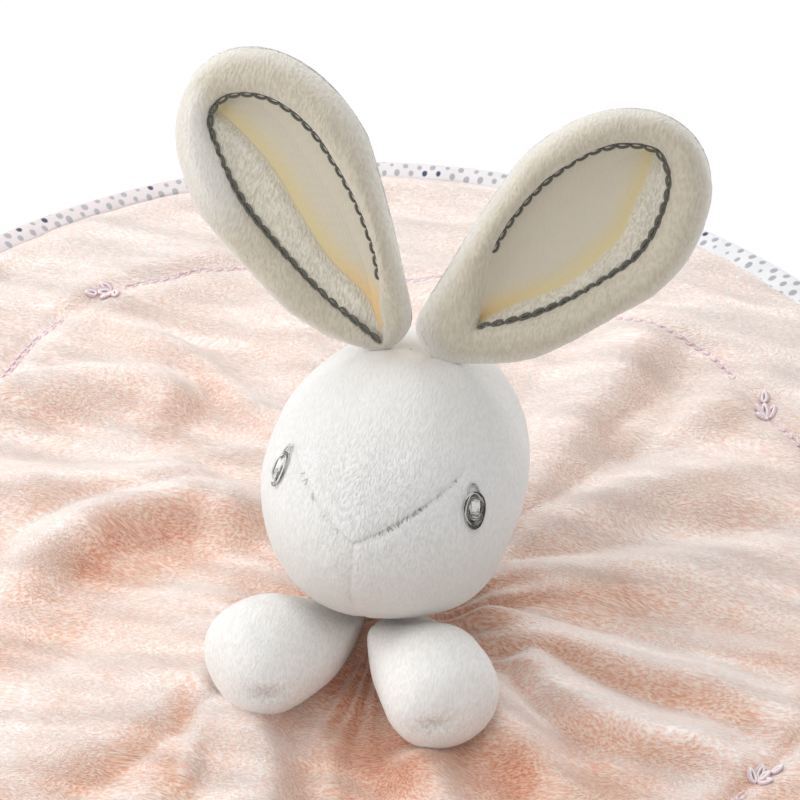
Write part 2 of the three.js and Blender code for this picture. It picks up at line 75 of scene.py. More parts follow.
def points_of(*parts):
    """Joins tables of x, y and z, stretched to one shape, into a table of points."""
    return np.stack(np.broadcast_arrays(*parts), -1)


def round_turns(columns):
    """A row of even angles once round."""
    return np.linspace(0, TURN, columns, endpoint=False)[None, :]


def bell(value, wide):
    """1 at zero, falling off to both sides as exp(-(value / wide)^2)."""
    return np.exp(-((value / wide) ** 2))


def through(stops, count):
    """Places on the smooth curve through the stops: cubics that pass each stop along the line between its
    neighbours."""
    stops = np.asarray(stops, float)
    slopes = np.gradient(stops, axis=0)
    place = np.linspace(0, len(stops) - 1, count)
    at = np.minimum(place.astype(int), len(stops) - 2)
    t = (place - at)[:, None]
    first = (1 + 2 * t) * (1 - t) ** 2 * stops[at] + t * (1 - t) ** 2 * slopes[at]
    return first + t * t * (3 - 2 * t) * stops[at + 1] + t * t * (t - 1) * slopes[at + 1]


def lumps(points, size, seed=1):
    """Smooth random heights from -1 to 1: fixed random numbers on a lattice, `size` apart, eased between."""
    lattice = np.random.default_rng(seed).uniform(-1, 1, (24, 24, 24))
    place = points / size
    cell = np.floor(place).astype(int)
    way = ease(place - cell, 0, 1)
    height = np.zeros(points.shape[:-1])
    for corner in np.ndindex(2, 2, 2):
        share = np.prod(np.where(corner, way, 1 - way), axis=-1)
        x, y, z = np.moveaxis((cell + corner) % 24, -1, 0)
        height += share * lattice[x, y, z]
    return height


print("eased middle:", ease(np.array([0.25, 0.5]), 0, 1))

# %% [markdown]
# ## From a grid of points to a piece
# A surface is a table of points: rows one way, columns the other. Its cells are the faces. One function makes
# every mesh here, so each piece is closed, faces outwards, carries its marks (a number per point that a material
# can read) and rides on the right body of the frame. Building faces with an editor's tools would need a loop
# over vertices, and numpy does it in one step.

# %% Cells, and the piece maker


def cells(rows, columns, round_rows, round_columns):
    """The four corners of each cell, as (row, column) numbers that may run one past the last when it closes."""
    row, column = np.meshgrid(
        np.arange(rows if round_rows else rows - 1),
        np.arange(columns if round_columns else columns - 1),
        indexing="ij",
    )
    corners = [(row, column), (row, column + 1), (row + 1, column + 1), (row + 1, column)]
    return np.stack([points_of(*corner) for corner in corners], -2).reshape(-1, 4, 2)


def piece(name, points, finish, body, stands_for=(), around=True, along=False, core=None, marks=None, wall=0):
    """Makes one object from grids of points in millimetres, shaped (rows, columns, 3) or (grids, rows, columns, 3).
    The columns close if `around`, the rows if `along`. Faces turn away from `core`, or outwards if it is None."""
    grids = points.reshape((-1,) + points.shape[-3:])
    count, rows, columns, _ = grids.shape
    corners = cells(rows, columns, along, around)
    numbers = (corners[..., 0] % rows) * columns + corners[..., 1] % columns
    faces = (numbers[None] + (np.arange(count) * rows * columns)[:, None, None]).reshape(-1, 4)
    places = grids.reshape(-1, 3) * MM
    a, b, c, d = np.moveaxis(places[faces], 1, 0)
    if core is None:
        turned_out = (a * np.cross(b, c) + a * np.cross(c, d)).sum()
    else:
        turned_out = (np.cross(c - a, d - b) * ((a + c) / 2 - np.array(core) * MM)).sum()
    mesh = bpy.data.meshes.new(name)
    mesh.from_pydata(places.tolist(), [], (faces if turned_out > 0 else faces[:, ::-1]).tolist())
    for label, values in (marks or {}).items():
        layer = mesh.attributes.new(label, "FLOAT", "POINT")
        layer.data.foreach_set("value", np.broadcast_to(values, grids.shape[:-1]).astype(np.float32).ravel())
    soft = bmesh.new()
    soft.from_mesh(mesh)
    bmesh.ops.remove_doubles(soft, verts=soft.verts, dist=1e-7)
    for edge in soft.edges:
        edge.smooth = not edge.is_boundary
    soft.to_mesh(mesh)
    soft.free()
    mesh.shade_smooth()
    mesh.materials.append(finish)
    made = bpy.data.objects.new(name, mesh)
    bpy.context.scene.collection.objects.link(made)
    if wall:
        thick = made.modifiers.new("wall", "SOLIDIFY")
        thick.thickness, thick.offset, thick.use_even_offset = wall * MM, -1, False
    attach(made, body)
    if stands_for:
        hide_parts(*([stands_for] if isinstance(stands_for, str) else stands_for))
    print(f"{name}: {len(mesh.vertices)} points, {len(mesh.polygons)} faces")
    return made


# %% [markdown]
# ## The camera, the floor and the light
# The photograph looks down at about 43 degrees, turned 16 degrees to the toy's own left. Its lens is long, because
# the blanket's far edge is hardly narrower than its near one. The light is soft and comes from all round: most of
# it from a window behind, some from one on the toy's right, and a little from above and in front, so that the ears'
# fronts lie in a light shade. White walls fill the shadows. They could be built, but the world does it for less,
# and it shows pure white only to the camera and in reflections.

# %% Stand the camera
EYE = Vector((201.9, -704.2, 680.7)) * MM
CAMERA_TURN, CAMERA_DOWN = np.radians(16), np.radians(42.9)
LENS, PICTURE = 3700, 800  # the lens's length and the picture's side, both in pixels
SENSOR = 36
OFF_CENTRE = (49, 161)  # pixels that the frame's middle is right of and above the lens's axis

camera = bpy.data.objects.new("camera", bpy.data.cameras.new("camera"))
bpy.context.scene.collection.objects.link(camera)
bpy.context.scene.camera = camera
camera.location = EYE
camera.data.sensor_width = SENSOR
camera.data.lens = SENSOR * (LENS / PICTURE)
camera.data.clip_end = 20


def aim_camera(turn, down, right_share, up_share):
    """Looks along the photograph's axis, moved by the shares of the lens's length that the frame's middle is
    right of and above the picture's own middle."""
    right = Vector((np.cos(turn), np.sin(turn), 0))
    level = Vector((-np.sin(turn), np.cos(turn), 0))
    ahead = level * np.cos(down) - Vector((0, 0, np.sin(down)))
    above = level * np.sin(down) + Vector((0, 0, np.cos(down)))
    return ahead + right * right_share + above * up_share


camera.rotation_mode = "QUATERNION"
looks = aim_camera(CAMERA_TURN, CAMERA_DOWN, OFF_CENTRE[0] / LENS, OFF_CENTRE[1] / LENS)
camera.rotation_quaternion = looks.to_track_quat("-Z", "Y")
print("camera looks along", [round(v, 3) for v in looks])

# %% [markdown]
# A material or a world is a tree of nodes. It could be clicked together by hand, but a tree that is written down
# can be read, so three small functions add a node, do one step of arithmetic, and read a web colour.

# %% A node tree in a few words


def add(tree, kind, links=None, **settings):
    """Adds a node, sets its settings, and feeds its inputs with sockets or plain values."""
    made = tree.nodes.new(kind)
    for name, value in settings.items():
        setattr(made, name, value)
    for name, value in (links or {}).items():
        socket = made.inputs[name]
        if isinstance(value, bpy.types.NodeSocket):
            tree.links.new(value, socket)
        else:
            socket.default_value = value
    return made


def math_node(tree, operation, *values):
    """One step of arithmetic, and its result."""
    return add(tree, "ShaderNodeMath", dict(enumerate(values)), operation=operation).outputs[0]


def colour(code):
    """A web colour as the plain light values that a shader works with."""
    shares = np.array([int(code[i : i + 2], 16) for i in (1, 3, 5)]) / 255
    light = np.where(shares <= 0.04045, shares / 12.92, ((shares + 0.055) / 1.055) ** 2.4)
    return (*light.tolist(), 1.0)


# %% White room and soft lamps
scene = bpy.context.scene
scene.view_settings.view_transform = "Standard"
ROOM_LIGHT = 0.53
LAMP_AIM = (0, 0, 0.03)

world = bpy.data.worlds.new("white room")
scene.world = world
world.use_nodes = True
tree = world.node_tree
tree.nodes.clear()
path = add(tree, "ShaderNodeLightPath")
seen = math_node(tree, "MAXIMUM", path.outputs["Is Camera Ray"], path.outputs["Is Glossy Ray"])
seen = math_node(tree, "MAXIMUM", seen, path.outputs["Is Transmission Ray"])
strength = math_node(tree, "MULTIPLY_ADD", seen, 1 - ROOM_LIGHT, ROOM_LIGHT)
room = add(tree, "ShaderNodeBackground", {"Color": (1, 1, 1, 1), "Strength": strength})
add(tree, "ShaderNodeOutputWorld", {"Surface": room.outputs[0]})


def soft_lamp(name, place, width, power):
    """A square lamp, `width` metres wide, that looks from its place towards the toy."""
    lamp = bpy.data.objects.new(name, bpy.data.lights.new(name, "AREA"))
    lamp.data.size, lamp.data.energy = width, power
    lamp.location = place
    lamp.rotation_mode = "QUATERNION"
    lamp.rotation_quaternion = (Vector(LAMP_AIM) - Vector(place)).to_track_quat("-Z", "Y")
    scene.collection.objects.link(lamp)


soft_lamp("side window", (-1.15, 0.03, 0.84), 0.9, 8.5)
soft_lamp("ceiling", (0.0, 0.0, 1.6), 0.9, 4.8)
soft_lamp("back window", (0.1, 1.15, 0.95), 0.9, 6.6)
soft_lamp("front window", (-0.9, -0.95, 0.6), 0.8, 3.2)

# %% [markdown]
# The toy sits on white paper that has no edge in the picture. A brighter lamp would make the paper white, and would
# bleach the toy as well, so the paper gets its white for the camera alone.

# %% Floor
FLOOR_GREY, FLOOR_WHITE, FLOOR_HALF = 0.93, 0.82, 4.0


def plain_floor():
    """A wide white square under everything. Part of its white is its own, for the camera alone, so that the
    background is white and the toy's shadow still falls on it."""
    paper = bpy.data.materials.new("floor paper")
    paper.use_nodes = True
    tree = paper.node_tree
    tree.nodes.clear()
    matt = add(tree, "ShaderNodeBsdfDiffuse", {"Color": (FLOOR_GREY, FLOOR_GREY, FLOOR_GREY, 1)})
    glow = add(tree, "ShaderNodeEmission", {"Color": (1, 1, 1, 1), "Strength": 1.0})
    path = add(tree, "ShaderNodeLightPath")
    seen = math_node(tree, "MAXIMUM", path.outputs["Is Camera Ray"], path.outputs["Is Glossy Ray"])
    share = math_node(tree, "MULTIPLY", seen, FLOOR_WHITE)
    both = add(tree, "ShaderNodeMixShader", {0: share, 1: matt.outputs[0], 2: glow.outputs[0]})
    add(tree, "ShaderNodeOutputMaterial", {"Surface": both.outputs[0]})
    mesh = bpy.data.meshes.new("floor")
    far = FLOOR_HALF
    mesh.from_pydata([(-far, -far, 0), (far, -far, 0), (far, far, 0), (-far, far, 0)], [], [(0, 1, 2, 3)])
    mesh.materials.append(paper)
    floor = bpy.data.objects.new("floor", mesh)
    scene.collection.objects.link(floor)


plain_floor()

# %% [markdown]
# ## The look of brushed pile
# Velour and plush are the same thing at two lengths: threads that stand up from a knitted ground and lie over
# in combed waves. A real pile of thousands of hairs would be heavy, so the hairs are a fine stretched noise.
# It is one group of nodes, used with its own grain in each pile: a slow noise bends the way the hairs
# lie, a stretched one gives the combed waves, and a fine one the single hairs.

# %% The pile group


def new_group(name, inputs, outputs):
    """A node group with named sockets; each input is a name, a socket kind and its usual value."""
    group = bpy.data.node_groups.new(name, "ShaderNodeTree")
    for label, kind, usual in inputs:
        socket = group.interface.new_socket(label, in_out="INPUT", socket_type=kind)
        if usual is not None:
            socket.default_value = usual
    for label, kind in outputs:
        group.interface.new_socket(label, in_out="OUTPUT", socket_type=kind)
    given = group.nodes.new("NodeGroupInput")
    result = group.nodes.new("NodeGroupOutput")
    return group, given.outputs, result.inputs


def pile_group():
    """Combed pile: waves and hairs in a height from 0 to 1, and the same softened for the colour."""
    group, given, result = new_group(
        "combed pile",
        [
            ("Place", "NodeSocketVector", None),
            ("Waves per metre", "NodeSocketFloat", 500.0),
            ("Hairs per metre", "NodeSocketFloat", 1800.0),
            ("Swirl", "NodeSocketFloat", 0.004),
        ],
        [("Height", "NodeSocketFloat"), ("Tone", "NodeSocketFloat")],
    )
    slow = add(group, "ShaderNodeTexNoise", {"Vector": given["Place"], "Scale": 45.0, "Detail": 1.0})
    centred = add(group, "ShaderNodeVectorMath", {0: slow.outputs["Color"], 1: (0.5, 0.5, 0.5)}, operation="SUBTRACT")
    bent = add(group, "ShaderNodeVectorMath", {0: centred.outputs[0], "Scale": given["Swirl"]}, operation="SCALE")
    place = add(group, "ShaderNodeVectorMath", {0: given["Place"], 1: bent.outputs[0]}, operation="ADD").outputs[0]
    waves = add(group, "ShaderNodeTexNoise", {"Vector": place, "Scale": given["Waves per metre"], "Detail": 2.0})
    hairs = add(group, "ShaderNodeTexNoise", {"Vector": place, "Scale": given["Hairs per metre"], "Detail": 1.0})
    sharp = add(group, "ShaderNodeMapRange", {"Value": waves.outputs["Fac"], "From Min": 0.3, "From Max": 0.7})
    height = math_node(group, "MULTIPLY", sharp.outputs[0], 0.65)
    height = math_node(group, "MULTIPLY_ADD", hairs.outputs["Fac"], 0.35, height)
    group.links.new(height, result["Height"])
    tone = add(group, "ShaderNodeMapRange", {"Value": height, "From Min": 0.27, "From Max": 0.68})
    group.links.new(tone.outputs[0], result["Tone"])
    return group


COMBED_PILE = pile_group()

# %% [markdown]
# ## The look of jersey
# Jersey is knitted: columns of little V stitches. The ear's cream lining and the printed cloth behind the velour
# are both jersey, so the stitches are a group too. A photograph of knit could be wrapped on, but waves of
# numbers stay sharp at any distance.

# %% The knit group


def knit_group():
    """Columns of V stitches: each column's yarns lean up from its middle, and rows repeat a little closer."""
    group, given, result = new_group(
        "jersey stitches",
        [("Place", "NodeSocketVector", None), ("Columns per metre", "NodeSocketFloat", 900.0)],
        [("Height", "NodeSocketFloat")],
    )
    scaled = add(
        group, "ShaderNodeVectorMath", {0: given["Place"], "Scale": given["Columns per metre"]}, operation="SCALE"
    )
    parts = add(group, "ShaderNodeSeparateXYZ", {0: scaled.outputs[0]})
    folded = math_node(group, "PINGPONG", parts.outputs["X"], 0.5)
    lean = math_node(group, "MULTIPLY_ADD", folded, -1.1, parts.outputs["Y"])
    wave = math_node(group, "SINE", math_node(group, "MULTIPLY", lean, TURN * 1.25))
    ridge = math_node(group, "SINE", math_node(group, "MULTIPLY", folded, TURN))
    height = math_node(group, "MULTIPLY", math_node(group, "MULTIPLY_ADD", wave, 0.5, 0.5), ridge)
    group.links.new(height, result["Height"])
    return group


JERSEY_STITCHES = knit_group()

# %% [markdown]
# ## Finishes
# Each finish is one material on one slot of the record. Pile is matt with a soft sheen at its edges, where the
# hairs are seen from the side. The velour's colour carries painted light and shade: a slope that faces the back is
# painted near white as painted light, and one that faces the front a warmer pink as painted shade. It reads this
# from a mark in the mesh.

# %% A finish, and its small steps


def new_finish(name, slot, roughness, sheen, sheen_roughness=0.5, sheen_tint=(1, 1, 1, 1)):
    """A matt material and its node tree, with its sheen on the shader's own sockets."""
    finish = bpy.data.materials.new(name)
    finish.use_nodes = True
    finish["slot"] = slot
    tree = finish.node_tree
    shader = tree.nodes["Principled BSDF"]
    shader.inputs["Roughness"].default_value = roughness
    shader.inputs["Specular IOR Level"].default_value = 0.25
    shader.inputs["Sheen Weight"].default_value = sheen
    shader.inputs["Sheen Roughness"].default_value = sheen_roughness
    shader.inputs["Sheen Tint"].default_value = sheen_tint
    return finish, tree, shader


def blend_colours(tree, share, first, second, blend="MIX"):
    """One colour over another by a share."""
    made = add(tree, "ShaderNodeMix", {"Factor": share}, data_type="RGBA", blend_type=blend)
    for socket, value in ((made.inputs[6], first), (made.inputs[7], second)):
        if isinstance(value, bpy.types.NodeSocket):
            tree.links.new(value, socket)
        else:
            socket.default_value = value
    return made.outputs[2]


def mark(tree, label):
    """A number that the mesh carries at each of its points."""
    return add(tree, "ShaderNodeAttribute", attribute_name=label).outputs["Fac"]


def bump(tree, shader, height, deep, share=1.0):
    """Feeds the shader's normal from a height; `deep` is its full height in millimetres."""
    made = add(tree, "ShaderNodeBump", {"Height": height, "Distance": deep * MM, "Strength": share})
    tree.links.new(made.outputs[0], shader.inputs["Normal"])


def on_object(tree, part=None):
    """The place on the object in metres, or one part of it."""
    place = add(tree, "ShaderNodeTexCoord").outputs["Object"]
    return add(tree, "ShaderNodeSeparateXYZ", {0: place}).outputs[part] if part else place


def between(tree, value, low, high):
    """0 where the value is low and 1 where it is high."""
    return add(tree, "ShaderNodeMapRange", {"Value": value, "From Min": low, "From Max": high}).outputs[0]


def placed_group(tree, group, values):
    """One of the groups above, with its inputs fed."""
    made = add(tree, "ShaderNodeGroup", node_tree=group)
    for label, value in values.items():
        if isinstance(value, bpy.types.NodeSocket):
            tree.links.new(value, made.inputs[label])
        else:
            made.inputs[label].default_value = value
    return made.outputs


def pile(tree, stretch, turn, waves, hairs, swirl):
    """The pile group on Object coordinates, stretched along the way the pile is combed."""
    combed = add(tree, "ShaderNodeMapping", {"Vector": on_object(tree), "Rotation": turn, "Scale": stretch})
    values = {"Place": combed.outputs[0], "Waves per metre": waves, "Hairs per metre": hairs, "Swirl": swirl}
    made = placed_group(tree, COMBED_PILE, values)
    return made["Height"], made["Tone"]


def knit(tree, place, columns):
    """The height of the jersey's stitches, so many columns to the metre."""
    return placed_group(tree, JERSEY_STITCHES, {"Place": place, "Columns per metre": columns})["Height"]


# %% Pink velour


def pink_velour():
    """Painted light and shade from a mark: paler on slopes that face the back, peach on the level and warm towards the
    front, with combed waves over all. The cloth behind the toy is painted paler still, as painted light."""
    finish, tree, shader = new_finish("pink velour", "pink_velour", 0.92, 0.3, 0.45, colour("#fff1ea"))
    height, tone = pile(tree, (0.55, 1.6, 1.0), (0, 0, 0.25), 1400.0, 3400.0, 0.02)
    # painted shade: the ramp runs from the colour of lit slopes to the warm pink of shaded ones
    ramp = add(tree, "ShaderNodeValToRGB", {"Fac": mark(tree, "hollow")})
    stops = ramp.color_ramp.elements
    stops[0].position, stops[0].color = 0.0, colour("#fdf3ee")
    stops[1].position, stops[1].color = 1.0, colour("#e3a98f")
    for place, shade in ((0.42, "#f8e0d5"), (0.75, "#f1cbb7")):
        stops.new(place).color = colour(shade)
    # painted light: the cloth behind the toy is painted paler
    behind = math_node(tree, "MULTIPLY", between(tree, on_object(tree, "Y"), -0.04, 0.12), 0.8)
    paler = blend_colours(tree, behind, ramp.outputs["Color"], colour("#faf1ec"))
    speckled = math_node(tree, "MULTIPLY_ADD", behind, -0.2, 0.5)
    shade = blend_colours(tree, speckled, paler, tone, "SOFT_LIGHT")
    hidden = math_node(tree, "MULTIPLY_ADD", tone, -0.4, 0.4)
    shade = blend_colours(tree, hidden, shade, colour("#f8ded0"), "MULTIPLY")
    tree.links.new(shade, shader.inputs["Base Color"])
    bump(tree, shader, height, 0.5)
    return finish


PINK_VELOUR = pink_velour()

# %% [markdown]
# The head and the arms are white plush, and the ears a creamier, longer one. All three have the same pile, so one
# function makes them with other colours. Near a seam the pile is pulled in and looks grey. A painted picture could
# show that, but a mark in the mesh follows the seam wherever it goes. The same mark carries painted shade low on
# the head, at the crown between the ears and at the ears' roots, and a second mark carries painted light on the
# ears. The head's plush is painted darker than the arms', as painted shade.

# %% White and ivory plush


def plush(name, light, dark, stretch, waves=900.0, hairs=2600.0, deep=0.45, swirl=0.012, sheen=0.3):
    """Short plush: two near whites that follow the pile, rougher where the mark `ruffled` says so, darker in a
    seam's groove and with painted shade (the mark for seams and shade), and whiter with painted light (the mark for
    painted light)."""
    finish, tree, shader = new_finish(name, "white_plush", 0.9, sheen, 0.4)
    height, tone = pile(tree, stretch, (0.3, 0.0, 0.15), waves, hairs, swirl)
    rough = math_node(tree, "MULTIPLY_ADD", mark(tree, "ruffled"), 0.8, 0.2)
    level = math_node(tree, "MULTIPLY_ADD", math_node(tree, "SUBTRACT", tone, 0.7), rough, 0.7)
    soft = blend_colours(tree, level, colour(dark), colour(light))
    # the mark darkens a seam's groove, and carries painted shade too
    groove = blend_colours(tree, mark(tree, "seam_and_shade"), soft, colour("#c4bcb0"))
    # painted light: whiter where its mark says so
    with_painted_light = blend_colours(tree, mark(tree, "painted_light"), groove, colour("#ffffff"))
    tree.links.new(with_painted_light, shader.inputs["Base Color"])
    bump(tree, shader, math_node(tree, "MULTIPLY", height, rough), deep, 0.8)
    return finish


WHITE_PLUSH = plush("white plush", "#f9f8f6", "#dfdcd8", (2.1, 0.65, 1.0))
# painted shade: the head's plush is the arms' white plush, painted darker
SHADED_HEAD_PLUSH = plush("white plush of the head, painted darker", "#eeeeed", "#d5d3d0", (2.1, 0.65, 1.0))
# the ears' colours are partly their own cream and partly painted shade on the ears' fronts
IVORY_PLUSH = plush("ivory plush", "#d5ccba", "#c0b7a5", (1.5, 1.0, 0.6), deep=0.5, sheen=0.9)

# %% [markdown]
# The ear's lining is smooth jersey whose stitches hardly show, with plush beside it. Both are one material that
# reads a mark to know which it is.

# %% Cream jersey for the ears


def cream_jersey():
    """The ear's lining: smooth cream jersey, yellower beside its fold, with a band of plush (mark `band`)."""
    finish, tree, shader = new_finish("cream jersey", "cream_jersey", 0.85, 0.12)
    height, tone = pile(tree, (1.5, 1.0, 0.5), (0.3, 0.0, 0.15), 1100.0, 2600.0, 0.012)
    band = mark(tree, "band")
    cloth = blend_colours(tree, mark(tree, "gold"), colour("#d8cfbd"), colour("#dfcfa3"))
    deeper = blend_colours(tree, mark(tree, "root"), cloth, colour("#e8bf86"))
    fur = blend_colours(tree, tone, colour("#d3cbb9"), colour("#e9e3d5"))
    tree.links.new(blend_colours(tree, band, deeper, fur), shader.inputs["Base Color"])
    flat = math_node(tree, "MULTIPLY", knit(tree, on_object(tree), 1100.0), 0.12)
    relief = add(tree, "ShaderNodeMix", {"Factor": band, 2: flat, 3: height}).outputs[0]
    bump(tree, shader, relief, 0.7, 0.7)
    return finish


CREAM_JERSEY = cream_jersey()

# %% [markdown]
# The back and the binding are white jersey printed with small grey dots, a few of them dark. A picture of the print
# would blur close by. A Voronoi texture with little randomness gives one dot to each cell of a grid, and the
# cell's own random number decides how large and how dark it is.

# %% Printed jersey


def dotted_jersey():
    """White jersey printed with rows of small grey dots, a few of them dark, on the cloth's own map in metres. The
    map is turned an eighth of a turn, so that the dots of a row stand over the gaps of the next."""
    finish, tree, shader = new_finish("dotted jersey", "dotted_jersey", 0.85, 0.1)
    print_place = {"X": mark(tree, "print_along"), "Y": mark(tree, "print_across")}
    place = add(tree, "ShaderNodeCombineXYZ", print_place).outputs[0]
    eighth = add(tree, "ShaderNodeMapping", {"Vector": place, "Rotation": (0, 0, TURN / 8)}).outputs[0]
    dots = add(tree, "ShaderNodeTexVoronoi", {"Vector": eighth, "Scale": 196.0, "Randomness": 0.2})
    parts = add(tree, "ShaderNodeSeparateColor", {0: dots.outputs["Color"]})
    radius = math_node(tree, "MULTIPLY_ADD", parts.outputs[1], 0.1, 0.23)
    gap = math_node(tree, "SUBTRACT", dots.outputs["Distance"], radius)
    inside = between(tree, gap, 0.05, -0.05)
    dark = math_node(tree, "GREATER_THAN", parts.outputs[0], 0.88)
    ink = blend_colours(tree, dark, colour("#b3b1b8"), colour("#475066"))
    # painted shade: the ground is greyer and pinker towards the toy's right
    shaded_right_side = between(tree, on_object(tree, "X"), 0.06, -0.1)
    ground = blend_colours(tree, shaded_right_side, colour("#eff0f2"), colour("#e6dcdc"))
    tree.links.new(blend_colours(tree, inside, ground, ink), shader.inputs["Base Color"])
    bump(tree, shader, knit(tree, place, 800.0), 0.2, 0.6)
    return finish


DOTTED_JERSEY = dotted_jersey()

# %% [markdown]
# Thread is two shades in a fine twist. The eyes, the ears' chain, the ring and the tie differ only in their
# shades, so one function makes all four, and a mark mixes the shades along each thread. The stuffing is a tangle
# of fibres, and the pile group without a combed way looks like one.

# %% Threads and stuffing


def thread(name, slot, light, dark):
    """Sewing thread: two shades in slanting twists, and the mark `shade` mixes towards the dark one."""
    finish, tree, shader = new_finish(name, slot, 0.55, 0.15)
    twist = add(tree, "ShaderNodeTexNoise", {"Vector": on_object(tree), "Scale": 2600.0, "Detail": 1.0}).outputs["Fac"]
    deeper = math_node(tree, "MULTIPLY_ADD", twist, 0.6, math_node(tree, "SUBTRACT", mark(tree, "shade"), 0.3))
    shade = blend_colours(tree, between(tree, deeper, 0.0, 1.0), colour(light), colour(dark))
    tree.links.new(shade, shader.inputs["Base Color"])
    bump(tree, shader, twist, 0.12, 0.6)
    return finish


EYE_THREAD = thread("eye thread", "eye_thread", "#f6f5f2", "#33332f")
EAR_THREAD = thread("ear chain thread", "eye_thread", "#8c8a80", "#34342f")
RING_THREAD = thread("ring thread", "neck_thread", "#f8eef0", "#cfaab5")
NECK_THREAD = thread("neck thread", "neck_thread", "#f6ede6", "#dcc8bd")


def fibre_fill():
    """Polyester stuffing: off white, tangled and a little shiny."""
    finish, tree, shader = new_finish("fibre fill", "fibre_fill", 0.7, 0.4)
    height, tone = pile(tree, (1, 1, 1), (0, 0, 0), 300.0, 1500.0, 0.03)
    tree.links.new(blend_colours(tree, tone, colour("#dedbd4"), colour("#f6f4ef")), shader.inputs["Base Color"])
    bump(tree, shader, height, 1.2, 0.8)
    return finish


FIBRE_FILL = fibre_fill()
print("finishes:", len(bpy.data.materials))

# %% [markdown]
# ## The velour cloth
# The blanket is a round of velour whose middle is tied to the toy's neck. The neck stands off the middle, so the
# cloth is worked out in circles about the neck, not about its own centre. It rises to the tie, falls away, and
# runs out in soft folds. Simulating the cloth would give folds too, but never the ones in the picture, so each
# fold is placed: its crest is a line through a few measured places, and it has a height and a width on each side.
# The highest fold wins where two meet, which leaves the sharp valley that real cloth has.

# %% The cloth's sizes
BLANKET_RADIUS = 175.0
BINDING_THICK = 0.9
SEAM_GAP = 0.35
BACK_THICK = 1.4
TOP_THICK = 2.4
HEM_THICK = 1.3
HEM_WIDE = 8.0
HEM_RADIUS = BLANKET_RADIUS - BINDING_THICK - SEAM_GAP
SHEET_BASE = BACK_THICK + SEAM_GAP
CLOTH_TOP = SHEET_BASE + TOP_THICK
NECK = np.array([16.3, -27.4])
STEM_RADIUS = 5.6  # the gathers under the tie
STEM_TOP = CLOTH_TOP + 9.5
FOLDS = [
    # height, half width on the left and on the right of a walker who leaves the neck, and the crest's places as
    # (distance from the neck, degrees); all lengths in mm
    (5.0, 16, 44, [(28, -152), (36, -149), (51, -143), (64, -137), (77, -134), (99, -135), (128, -138)]),
    (3.0, 14, 14, [(62, -124), (80, -119), (115, -116)]),
    (7.0, 11, 22, [(36, -124), (52, -114), (60, -105), (74, -98), (115, -92)]),
    (6.0, 11, 10, [(44, -65), (60, -63), (80, -62), (125, -60)]),
    (6.0, 14, 11, [(28, -27), (39, -31), (54, -37), (69, -39), (110, -43)]),
    (6.5, 15, 9, [(30, -4), (40, -9), (51, -15), (61, -17), (78, -17), (94, -15), (122, -16)]),
    (7.5, 15, 10, [(14, 24), (26, 14), (37, 5), (51, 2), (73, -1), (91, -2), (130, -8)]),
    (6.5, 15, 30, [(14, 48), (32, 39), (50, 34), (71, 30), (92, 29), (140, 29)]),
    (5.5, 26, 14, [(34, 60), (55, 55), (72, 51), (90, 49), (104, 43), (140, 37)]),
    (3.0, 13, 13, [(92, 66), (115, 60), (160, 56)]),
    (7.5, 22, 15, [(36, 58), (64, 66), (82, 69), (103, 71), (132, 72), (165, 73)]),
    (5.0, 15, 15, [(55, 90), (100, 94), (165, 99)]),
    (4.5, 15, 15, [(60, 105), (100, 113), (160, 120)]),
    (5.0, 8, 8, [(60, 116), (86, 125), (100, 129), (122, 132), (134, 134), (158, 138)]),
    (7.5, 19, 12, [(98, 136), (108, 138), (118, 139), (126, 143), (134, 148), (142, 155), (152, 163)]),
    (8.0, 14, 17, [(84, 142), (80, 151), (89, 159), (98, 163), (108, 166), (140, 170)]),
    (
        9.5, 14, 16,
        [(46, 156), (55, 151), (62, 149), (70, 153), (75, 159), (82, 165), (88, 170), (92, 177), (96, 186), (98, 196)],
    ),
]  # fmt: skip

# %% The fold formula


def reach(turn, edge):
    """How far the circle of radius `edge` about the blanket's middle is from the neck in a direction."""
    along = NECK[0] * np.cos(turn) + NECK[1] * np.sin(turn)
    return np.sqrt(edge**2 - (NECK**2).sum() + along**2) - along


def beside(stops, x, y):
    """For places in the plane: how far along a smooth line they are as a share of it, how far from it, and on which
    side. The line is cut in twelve straight steps, and each place belongs to its nearest step."""
    stops = np.array(stops, float)
    turns = np.unwrap(np.radians(stops[:, 1]))
    line = through(np.column_stack([stops[:, 0] * np.cos(turns), stops[:, 0] * np.sin(turns)]), 13)
    along, away, side = np.zeros(x.shape), np.full(x.shape, 1e9), np.zeros(x.shape)
    for step, ((ax, ay), (bx, by)) in enumerate(zip(line[:-1], line[1:])):
        share = np.clip(((x - ax) * (bx - ax) + (y - ay) * (by - ay)) / ((bx - ax) ** 2 + (by - ay) ** 2), 0, 1)
        far = np.hypot(x - mix(ax, bx, share), y - mix(ay, by, share))
        closer = far < away
        along, away = np.where(closer, (step + share) / 12, along), np.where(closer, far, away)
        side = np.where(closer, (bx - ax) * (y - ay) - (by - ay) * (x - ax), side)
    return along, away, side


def fold_lift(x, y):
    """The highest fold at each place. A fold's section is half a wave with its own width on each side, and its crest
    rises over the first fifth of its line and fades over the last."""
    lift = np.zeros(x.shape)
    for high, left, right, stops in FOLDS:
        along, away, side = beside(stops, x, y)
        wide = mix(right, left, ease(side, -20, 20))
        section = (1 + np.cos(np.pi * np.clip(away / wide, 0, 1))) / 2
        lift = np.maximum(lift, high * ease(along, 0, 0.2) * (1 - ease(along, 0.78, 1)) * section)
    return lift
